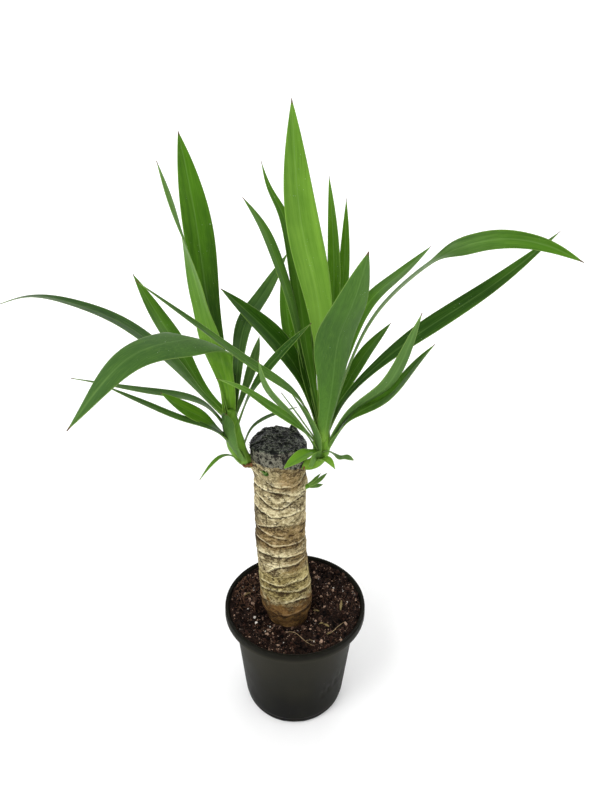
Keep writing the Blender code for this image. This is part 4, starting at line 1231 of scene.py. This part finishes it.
# %% The right head's leaves
RIGHT_STEM = [(2, -6, 337), (15, -10, 338), (24, -12, 348), (26, -13, 366), (27, -13, 396)]
RIGHT_RADII = [6.5, 8.0, 11.5, 10.5, 5.0]
RIGHT_LEAVES = {
    "tallest": Leaf(390, [(17, 22, 517), (5, 35, 563), (-4, 48, 625)], (-8, 55, 686), 38, (.80, .78, .66),
                    .08),
    "front_broad": Leaf((27, -23, 372), [(34, -35, 453), (37, -50, 494), (46, -65, 527)], (56, -75, 572), 44,
                        (.8, .34, .18, .32), (0, .0, .08, .15), belly=0.60, neck=0.42),
    "back_slim": Leaf(388, [(37, 70, 527)], (31, 120, 617), 14, .45, .0),
    "back_slim_2": Leaf(386, [(49, 90, 525)], (52, 140, 592), 13, .40, .0),
    "behind_tallest": Leaf(386, [(6, 20, 476), (-8, 45, 556), (-18, 60, 586), (-30, 75, 606)], (-39, 90, 631),
                           18, .35, .1, belly=0.45),
    "narrow_left": Leaf(382, [(8, 10, 437), (-9, 15, 510), (-25, 22, 554), (-34, 30, 573)], (-54, 40, 601),
                        17, .35, .25, belly=0.76),
    "broad_left": Leaf(378, [(5, 5, 428), (-16, 15, 459), (-38, 25, 480)], (-79, 40, 513), 29,
                       (.35, .08, .15), .0, (0, -13, -10)),
    "hidden_left": Leaf(384, [(-9, 50, 467)], (-17, 90, 531), 18, .35, .0),
    "inner_short": Leaf(380, [(10, 5, 428)], (-1, 20, 476), 13, .15, .0),
    "inner_long": Leaf(386, [(14, 10, 432)], (5, 40, 506), 14, .35, .0),
    "long_crossing": Leaf(366, [(6, -30, 417), (-9, -45, 440), (-41, -65, 472), (-70, -80, 501)],
                          (-127, -90, 550), 15, (.5, .28, .12), (.35, .15, .25), (0, -30, -30), belly=0.32,
                          neck=0.55),
    "low_crossing": Leaf(354, [(12, -35, 384), (-8, -55, 414), (-30, -75, 440), (-48, -90, 460)],
                         (-67, -95, 470), 10.5, (.6, .35, .5), (.3, .1, .2), (0, -55, -55), belly=0.52,
                         neck=0.5),
    "pale_sheath": Leaf((23, -19, 348), [(21, -23, 366), (19, -26, 379), (15, -28, 391), (9, -31, 405)],
                        (-5, -38, 432), 14, (.75, .6, .5), (.35, .7, .6), cup=50, belly=0.38, neck=0.75),
    "pale_small": Leaf(366, [(-8, -45, 415), (-27, -60, 446)], (-33, -75, 479), 9, .60, .70, (0, 20, 20)),
    "dry_small": Leaf(370, [(-7, -25, 415)], (-15, -30, 429), 5, .50, .90),
    "right_back": Leaf(380, [(52, 35, 450), (73, 60, 492), (108, 95, 515)], (152, 140, 541), 20, .38, .1),
    "right_wavy": Leaf(376,
                       [(54, 0, 452), (79, 18, 496), (109, 26, 527),
                        (151, 32, 555), (203, 30, 567), (238, 20, 562)],
                       (269, 10, 549), 19, (.4, .35, .3, .3, .38, .4), (.2, .6, .9, .7, .15, 0),
                       (0, -3, -6, -8, -8, 80, 105, 108), belly=0.74),
    "right_long": Leaf(372, [(48, 5, 404), (80, 20, 436), (130, 40, 470), (204, 70, 511)], (280, 100, 565),
                       21, .12, .2, (0, 30, 30), belly=0.50),
    "right_short": Leaf(376, [(51, 30, 408), (76, 70, 435)], (108, 110, 458), 17, .35, .0),
    "right_sword": Leaf(360, [(54, -25, 408), (82, -50, 446), (92, -65, 477)], (102, -80, 524), 14, .40, .6,
                        (0, -35, -40), neck=0.6),
    "right_low": Leaf(356, [(57, -25, 403), (86, -40, 431), (103, -50, 460)], (119, -65, 492), 19,
                      (.6, .25, .2), .1, (0, 35, 35), belly=0.55, neck=0.55),
    "over_wax": Leaf((23, -22, 360), [(11, -37, 366), (0, -51, 367)], (-12, -65, 365), 14, (.6, .75, .75), .0,
                     (0, -20, -20), cup=42, belly=0.5, fold=0.35, neck=0.6),
    "grey_curl": Leaf((26, -20, 358), [(35, -28, 363), (44, -34, 360), (50, -38, 363)], (57, -42, 362), 6.5,
                      .3, .75, (0, -30, 20, 40), blunt=5, neck=0.6),
    "low_right": Leaf((23, -18, 347), [(31, -31, 356)], (39, -43, 352), 11, .85, .0, belly=0.4, neck=0.8),
    "bulb_scale": Leaf((16, -16, 338), [(20, -20, 350)], (23, -21, 363), 13, .8, .25, cup=48, blunt=4,
                       neck=0.8),
}
print(len(RIGHT_LEAVES), "leaves in the right head")

# %% [markdown]
# A leaf's midrib is a smooth curve from its root through its points. A curve object with a bevel, a
# taper and some tilt comes close, but its section keeps one form, while these leaves wrap their stem at
# the root and open further out. So this cell works out, for any share of the length, where the midrib
# is, how wide the leaf is there and which way its upper face looks.

# %% From a leaf's line in the table to its midrib
CLASP, NECK_AT, BASE_SHARE = 0.62, 0.12, 0.50


def root_of(leaf, stem, radii):
    """Where a leaf clasps its stem: on the side that it leans to, nearly at the stem's surface."""
    if not np.isscalar(leaf.seat):
        return np.array(leaf.seat, float)
    shares = np.linspace(0, 1, 60)
    line = spline(stem, shares)
    here = int(np.argmin(np.abs(line[:, 2] - leaf.seat)))
    thick = np.interp(shares[here], np.linspace(0, 1, len(radii)), radii)
    lean = np.subtract([*leaf.knees, leaf.tip][0], line[here]) * (1, 1, 0)
    return line[here] + CLASP * thick * lean / np.linalg.norm(lean)


def leaf_width(leaf, share):
    """Full width along a leaf: clasping root, narrow neck, belly and pointed tip."""
    root = BASE_SHARE + (leaf.neck - BASE_SHARE) * step(0, NECK_AT, share)
    rise = leaf.neck + (1 - leaf.neck) * step(NECK_AT, leaf.belly, share)
    past = np.clip((share - leaf.belly) / (1 - leaf.belly), 0, 1)
    width = np.where(share < NECK_AT, root, np.where(share < leaf.belly, rise, 1 - past ** leaf.blunt))
    return leaf.width * width


def blended(values, shares):
    """A smooth value through values spread evenly from the root to the tip."""
    values = np.asarray(values, float)
    place = shares * (len(values) - 1)
    k = np.minimum(place.astype(int), len(values) - 2)
    return values[k] + (values[k + 1] - values[k]) * step(0, 1, place - k)


def leaf_frames(root, leaf, shares):
    """Midrib points, width directions and upper-face directions along a leaf."""
    knots = [root, *leaf.knees, leaf.tip]
    middles = spline(knots, shares)
    along = spline(knots, np.minimum(shares + 0.01, 1)) - spline(knots, np.maximum(shares - 0.01, 0))
    along = unit(along)
    out = unit(np.array([leaf.tip[0] - root[0], leaf.tip[1] - root[1], 0.0]))
    flat = np.cross((0, 0, 1), out)
    across = unit(flat - along * (along @ flat)[:, None])
    face = np.cross(along, across)
    turn = np.radians(blended(leaf.roll, shares))[:, None]
    return middles, across * np.cos(turn) + face * np.sin(turn), face * np.cos(turn) - across * np.sin(turn)


print("widest place of the tallest leaf:", leaf_width(RIGHT_LEAVES["tallest"], np.array([0.57])), "mm")

# %% [markdown]
# Across its width a leaf is a shallow gutter, thick at the midrib and thin at the margins, and at its
# root it wraps round the stem. A flat sheet with a Solidify modifier is as thick at the edge as in the
# middle, unless weights are painted for it. Flattened rings strung on the midrib give each blade its own
# thickness everywhere, a keel under the midrib and a slight wave in the margins.

# %% A leaf as a closed blade
LEAF_ROW_SPACING, LEAF_POINTS_ACROSS, BASE_WRAP = 3.0, 15, 75.0
THICK_ROOT, THINNING, THIN_MARGIN, LEAST_THICKNESS = 0.75, 0.40, 0.72, 0.06
KEEL, KEEL_WIDTH, WAVE = 0.10, 0.09, 0.035


def from_midrib(slopes):
    """Add up slopes across a leaf, so that the sum is zero at the midrib."""
    steps = (slopes[:, 1:] + slopes[:, :-1]) / (LEAF_POINTS_ACROSS - 1)
    sums = np.concatenate([0 * steps[:, :1], np.cumsum(steps, axis=1)], axis=1)
    return sums - sums[:, LEAF_POINTS_ACROSS // 2, None]


def gutter(leaf, share, places):
    """How steeply the upper face bends up at each place across the leaf, in radians."""
    wrap = np.radians(leaf.cup + (BASE_WRAP - leaf.cup) * (1 - step(0, 0.2, share)))
    fold = 1 + (leaf.fold - 1) * step(0.1, 0.3, share)
    return wrap * 0.5 * (1 + fold) * np.sign(places) * np.abs(places) ** fold


def store_leaf_layers(blade, leaf, length, half, share, places):
    """Keep where each point is on its leaf, and its tone and grey there, with their painted light, shade and
    sheen.
    """
    upper = places + 0 * share
    both = np.concatenate([upper, upper[:, ::-1]], axis=1)
    layers = {"from_edge": (1 - np.abs(both)) * half, "across_mm": both * half, "along_mm": share * length,
              "along": share, "under": np.concatenate([0 * upper, 0 * upper + 1], axis=1)}
    for layer, values in (("tone", leaf.tone), ("grey", leaf.grey)):
        values = np.atleast_1d(values)
        layers[layer] = np.interp(share, np.linspace(0, 1, len(values)), values)
    for layer, values in layers.items():
        store(blade, layer, values + 0 * both)


def leaf_blade(name, stem, radii, leaf, seed):
    """A leaf as flattened rings: its upper face one way and its underside back."""
    root = root_of(leaf, stem, radii)
    length = np.linalg.norm(leaf.tip - root)
    shares = np.linspace(0, 1, max(24, int(length / LEAF_ROW_SPACING))) ** 0.97
    middle, across, face = (v[:, None, :] for v in leaf_frames(root, leaf, shares))
    half = np.maximum(0.5 * leaf_width(leaf, shares), 0.35)[:, None]
    share, places = shares[:, None], np.linspace(-1, 1, LEAF_POINTS_ACROSS)[None, :]
    bend = gutter(leaf, share, places)
    wave = WAVE * half * np.sin(13 * share + seed) * places ** 2 * step(0.2, 0.5, share)
    sideways, upwards = half * from_midrib(np.cos(bend)), half * from_midrib(np.sin(bend)) + wave
    surface = middle + across * sideways[..., None] + face * upwards[..., None]
    normal = face * np.cos(bend)[..., None] - across * np.sin(bend)[..., None]
    thick = (THICK_ROOT - THINNING * share) * (1 - THIN_MARGIN * places ** 2) + LEAST_THICKNESS
    keel = KEEL * bell(places, 0, KEEL_WIDTH)
    upper = surface + normal * (thick - 1.6 * keel)[..., None]
    lower = surface - normal * (thick + keel)[..., None]
    blade = skin(name, np.concatenate([upper, lower[:, ::-1]], axis=1))
    store_leaf_layers(blade, leaf, length, half, share, places)
    return blade


print(f"beside its midrib a leaf's root is {2 * (THICK_ROOT + LEAST_THICKNESS):.2f} mm thick")

# %% [markdown]
# One leaf finish serves all leaves. A material for each would be forty times the work, so it reads
# where on the leaf a point is, its tone and grey, and which face it is on. Tone and grey carry the
# leaf's own greens and also painted light and shade, and a painted grey sheen. The upper face is
# glossy, the underside greyer and duller. Fine veins run lengthwise, so their noise is stretched along
# the leaf. The midrib, a thin pale margin, dust and a brown tip are laid over it.

# %% Leaf finish
DEEP_GREEN, MIDDLE_GREEN, LIGHT_GREEN = (0.016, 0.056, 0.003), (0.058, 0.160, 0.006), (0.165, 0.335, 0.030)
# the greyer greens are partly matt undersides and partly a painted grey sheen
DULL_AND_SHEEN_DARK, DULL_AND_SHEEN_LIGHT, UNDERSIDE = (0.034, 0.074, 0.024), (0.155, 0.255, 0.085), (0.070, 0.150, 0.036)
VEIN_LIGHT, VEIN_DARK, MIDRIB = (0.18, 0.33, 0.05), (0.008, 0.030, 0.004), (0.22, 0.38, 0.10)
PALE_ROOT, PALE_MARGIN, DUST = (0.20, 0.36, 0.04), (0.26, 0.40, 0.09), (0.45, 0.52, 0.38)
BROWN_TIP, RUST = (0.10, 0.06, 0.03), (0.25, 0.14, 0.05)


def leaf_green(finish, bands):
    """The blade's green with its painted light, shade and grey sheen, without its marks."""
    cloud = between(finish, spots(finish, 45.0, 3.0), 0.3, 0.7, -0.06, 0.06)
    tone = maths(finish, "ADD", stored(finish, "tone"), cloud)
    tone = maths(finish, "ADD", tone, between(finish, bands, 0.3, 0.7, -0.08, 0.08))
    # painted light and shade: tone is partly each leaf's own green and partly lowered where it stands in
    # shade
    green = blend_colour(finish, between(finish, tone, 0.0, 0.5), DEEP_GREEN, MIDDLE_GREEN)
    green = blend_colour(finish, between(finish, tone, 0.45, 1.0), green, LIGHT_GREEN)
    # painted sheen: grey mixes in these greyer greens, partly a matt surface and partly a painted grey sheen
    dull_and_sheen = blend_colour(finish, between(finish, tone, 0.0, 0.8), DULL_AND_SHEEN_DARK, DULL_AND_SHEEN_LIGHT)
    green = blend_colour(finish, stored(finish, "grey"), green, dull_and_sheen)
    return blend_colour(finish, stored(finish, "under"), green, blend_colour(finish, 0.5, green, UNDERSIDE))


def make_leaf_finish():
    finish = finish_named("yucca_leaf")
    along, across = stored(finish, "along"), stored(finish, "across_mm")
    lengthwise = add(finish, "CombineXYZ", {"X": across,
                                            "Y": maths(finish, "MULTIPLY", stored(finish, "along_mm"), 0.02),
                                            "Z": maths(finish, "MULTIPLY", stored(finish, "tone"), 50.0)})
    place = lengthwise.outputs[0]
    veins = add(finish, "TexNoise", {"Vector": place, "Scale": 1.3, "Detail": 3.0}).outputs["Fac"]
    bands = add(finish, "TexNoise", {"Vector": place, "Scale": 0.2, "Detail": 2.0}).outputs["Fac"]
    dust = maths(finish, "MULTIPLY", between(finish, spots(finish, 1.5, 2.0), 0.70, 0.76),
                 between(finish, spots(finish, 30.0, 2.0), 0.50, 0.62))
    green = leaf_green(finish, bands)
    for share, colour in (
            (between(finish, veins, 0.50, 0.70, 0.0, 0.14), VEIN_LIGHT),
            (between(finish, veins, 0.48, 0.32, 0.0, 0.14), VEIN_DARK),
            (between(finish, maths(finish, "ABSOLUTE", across), 1.1, 0.3, 0.0, 0.14), MIDRIB),
            (between(finish, along, 0.10, 0.0, 0.0, 0.6), PALE_ROOT),
            (between(finish, stored(finish, "from_edge"), 0.8, 0.3, 0.0, 0.40), PALE_MARGIN),
            (maths(finish, "MULTIPLY", dust, 0.7), DUST),
            (between(finish, along, 0.978, 0.992), BROWN_TIP),
            (maths(finish, "MULTIPLY", stored(finish, "rust"), 0.8), RUST)):
        green = blend_colour(finish, share, green, colour)
    wire(finish, green, "Base Color")
    wire(finish, between(finish, stored(finish, "under"), 0.0, 1.0, 0.32, 0.50), "Roughness")
    shine(finish, 0.06)
    bump(finish, veins, 0.25, 0.3)
    return finish


LEAF = make_leaf_finish()
for side, stem, radii, leaves, node, slot in (
        ("left", LEFT_STEM, LEFT_RADII, LEFT_LEAVES, "shoot_left", "left_leaves"),
        ("right", RIGHT_STEM, RIGHT_RADII, RIGHT_LEAVES, "shoot_right", "right_leaves")):
    for number, (name, leaf) in enumerate(leaves.items()):
        put(leaf_blade("leaf_" + side + "_" + name, stem, radii, leaf, number), LEAF, slot, node)

# %% [markdown]
# ## The stems under the leaves
#
# The leaf bases overlap like the layers of a leek round a short, bulging stem. Metaballs would melt
# stem and leaves together, but they can't carry the numbers that the leaf finish reads. So the stem is
# a tube through the same points as in the CAD, a little slimmer, with slow bumps all over. Its finish
# is the leaf finish, in the pale green of a leaf's base, and the left one is rusty at its foot.

# %% Stems
STEM_SLIMMING = 0.80


def stem_tube(name, line, radii, sides=40, rows=60, rough=0.25, tone=0.75, rust=0.0, start=0.02):
    """A bumpy tube along a line, with the numbers that the leaf finish reads."""
    shares = np.linspace(0, 1, rows)
    middle = spline(line, shares)
    ahead = unit(np.gradient(middle, axis=0))
    side = unit(np.cross((0, 1, 0), ahead))
    up = np.cross(ahead, side)
    radius = np.interp(shares, np.linspace(0, 1, len(radii)), radii)
    radius = np.convolve(np.pad(radius, 4, mode="edge"), np.ones(9) / 9, mode="valid")[:, None, None]
    angle = angles_round(sides)[None, :, None]
    rings = middle[:, None] + radius * (side[:, None] * np.cos(angle) + up[:, None] * np.sin(angle))
    rings += rough * grain(rings, 6.0, 71)[..., None] * (rings - middle[:, None]) / radius
    tube = skin(name, rings)
    share = shares[:, None] + 0 * angle[0, :, 0]
    for layer, values in (("from_edge", 0 * share + 9), ("across_mm", radius[..., 0] * angle[..., 0]),
                          ("along_mm", 60 * share), ("along", start + 0.10 * share), ("under", 0 * share),
                          ("tone", 0 * share + tone), ("grey", 0 * share + 0.1),
                          ("rust", rust * (1 - step(0.0, 0.14, share)))):
        store(tube, layer, values + 0 * share)
    return tube


slim_right = STEM_SLIMMING * np.array(RIGHT_RADII)
put(stem_tube("stem_left", LEFT_STEM, LEFT_TUBE_RADII, rust=0.8), LEAF, "left_leaves", "shoot_left")
put(stem_tube("stem_right", RIGHT_STEM, slim_right), LEAF, "right_leaves", "shoot_right")

# %% [markdown]
# ## The small sprout and the bud
#
# Low on the cane's right side a tiny sprout has opened, and a green bud sits at the wax's front edge.
# They could be two fused lumps at this size, but both are made with the same two tools as the large
# heads, a stem and a few leaves, only smaller, so that they hold up in a close view.

# %% Sprout and bud
SPROUT_STEM = [(6, -3, 303), (11, -4, 306), (15, -6, 308)]
SPROUT_RADII = [3.4, 3.0, 1.9]
SPROUT_LEAVES = {
    "long": Leaf((14, -6, 308), [(20, -7, 312), (27, -8, 319)], (33, -10, 327), 4.8, (.7, .5, .2), .5,
                 (45, 50, 50), neck=0.7),
    "up": Leaf((13, -5, 309), [(17, -6, 313)], (26, -8, 325), 3.8, (.6, .2), .4, (50, 50, 50), neck=0.8),
    "low": Leaf((14, -6, 307), [(20, -8, 309)], (29, -9, 312), 4.4, (.6, .1), .4, (45, 50, 50), neck=0.8),
}
BUD_STEM = [(-29, -21, 332), (-32.5, -26, 335.5), (-33.5, -27.5, 339)]
BUD_RADII = [2.2, 2.5, 1.0]
BUD_LEAVES = {
    "scale": Leaf(336, [(-35, -29, 339)], (-37, -31, 342), 3.4, .0, .5),
    "side": Leaf(336, [(-31, -31, 339)], (-30, -32, 341), 3.0, .0, .5),
}
for head, stem, radii, leaves, node, slot in (
        ("sprout", SPROUT_STEM, SPROUT_RADII, SPROUT_LEAVES, "sprout", "sprout_green"),
        ("bud", BUD_STEM, BUD_RADII, BUD_LEAVES, "bud_front", "bud_green")):
    stem_tone = 0.1 if head == "bud" else 0.75
    put(stem_tube(head + "_stem", stem, radii, 20, 24, 0.2, stem_tone, start=0.1), LEAF, slot, node)
    for number, (name, leaf) in enumerate(leaves.items()):
        put(leaf_blade(head + "_" + name, stem, radii, leaf, number), LEAF, slot, node)

# %% [markdown]
# ## The studio
#
# The photo has a white ground and very soft light. A single plane would show its edge, so the floor
# is a wide disc whose rim sweeps up into a wall, as in a photographer's studio. It glows a little, more
# so further out, so that it turns pure white without stronger lamps, and keeps a faint shadow.

# %% Floor
FLOOR_FLAT, FLOOR_SWEEP, WALL_TOP, FLOOR_SIDES = 1600.0, 900.0, 2600.0, 96
GLOW_NEAR, GLOW_FAR, GLOW_REACH = 0.12, 0.36, (0.3, 1.5)


def make_floor():
    sweep = [(FLOOR_FLAT * k / 8, 0.0) for k in range(1, 9)]
    sweep += [(FLOOR_FLAT + FLOOR_SWEEP * sin(a), FLOOR_SWEEP * (1 - cos(a)))
              for a in np.linspace(0.15, pi / 2, 12)]
    sweep.append((FLOOR_FLAT + FLOOR_SWEEP, WALL_TOP))
    rings = turned(np.array(sweep), FLOOR_SIDES)
    rows, corners = rings.shape[:2]
    points = np.concatenate([rings.reshape(-1, 3), [[0, 0, 0]]])
    no_lid = [face for face in ring_faces(rows, corners) if rows * corners + 1 not in face]
    floor = mesh_piece("studio_floor", points, no_lid)
    reach = np.linalg.norm(np.array([v.co[:2] for v in floor.data.vertices]), axis=1)
    store(floor, "glow", GLOW_NEAR + (GLOW_FAR - GLOW_NEAR) * step(*GLOW_REACH, reach))
    paint = finish_named("studio_white")
    white = blend_colour(paint, spots(paint, 400.0), (0.90, 0.90, 0.90), (0.92, 0.92, 0.92))
    wire(paint, white, "Base Color")
    wire(paint, stored(paint, "glow"), "Emission Strength")
    shader_of(paint).inputs["Roughness"].default_value = 0.9
    shine(paint, 0.1)
    shader_of(paint).inputs["Emission Color"].default_value = (1, 1, 1, 1)
    floor.data.materials.append(paint)
    print("floor:", rows, "rings out to", round(rings[..., 0].max()), "mm")


make_floor()

# %% [markdown]
# One large lamp stands in front on the left, a weaker one on the right, and one behind, which lights the
# leaves' far sides and the wax from above. A sun would give hard shadows, and the photo has none. A pale
# sky fills what the lamps leave dark.

# %% Lights
LIT_MIDDLE = Vector((0, 0, 0.35))
SKY_STRENGTH = 0.38


def make_lamp(name, place, size, watts):
    """A large soft lamp that faces the middle of the plant."""
    lamp = bpy.data.objects.new(name, bpy.data.lights.new(name, "AREA"))
    lamp.data.shape, lamp.data.size, lamp.data.energy = "DISK", size, watts
    lamp.location = place
    lamp.rotation_mode = "QUATERNION"
    lamp.rotation_quaternion = (LIT_MIDDLE - Vector(place)).to_track_quat("-Z", "Y")
    bpy.context.scene.collection.objects.link(lamp)
    print(name, watts, "W")


make_lamp("key_lamp", (-0.8, -0.9, 1.8), 0.8, 17)
make_lamp("fill_lamp", (1.3, -0.6, 1.1), 1.1, 2.5)
make_lamp("back_lamp", (0.3, 1.3, 1.9), 1.2, 5)

sky = bpy.data.worlds.new("sky")
sky.use_nodes = True
sky.node_tree.nodes["Background"].inputs["Color"].default_value = (1, 1, 1, 1)
sky.node_tree.nodes["Background"].inputs["Strength"].default_value = SKY_STRENGTH
bpy.context.scene.world = sky
bpy.context.scene.view_settings.view_transform = "Standard"
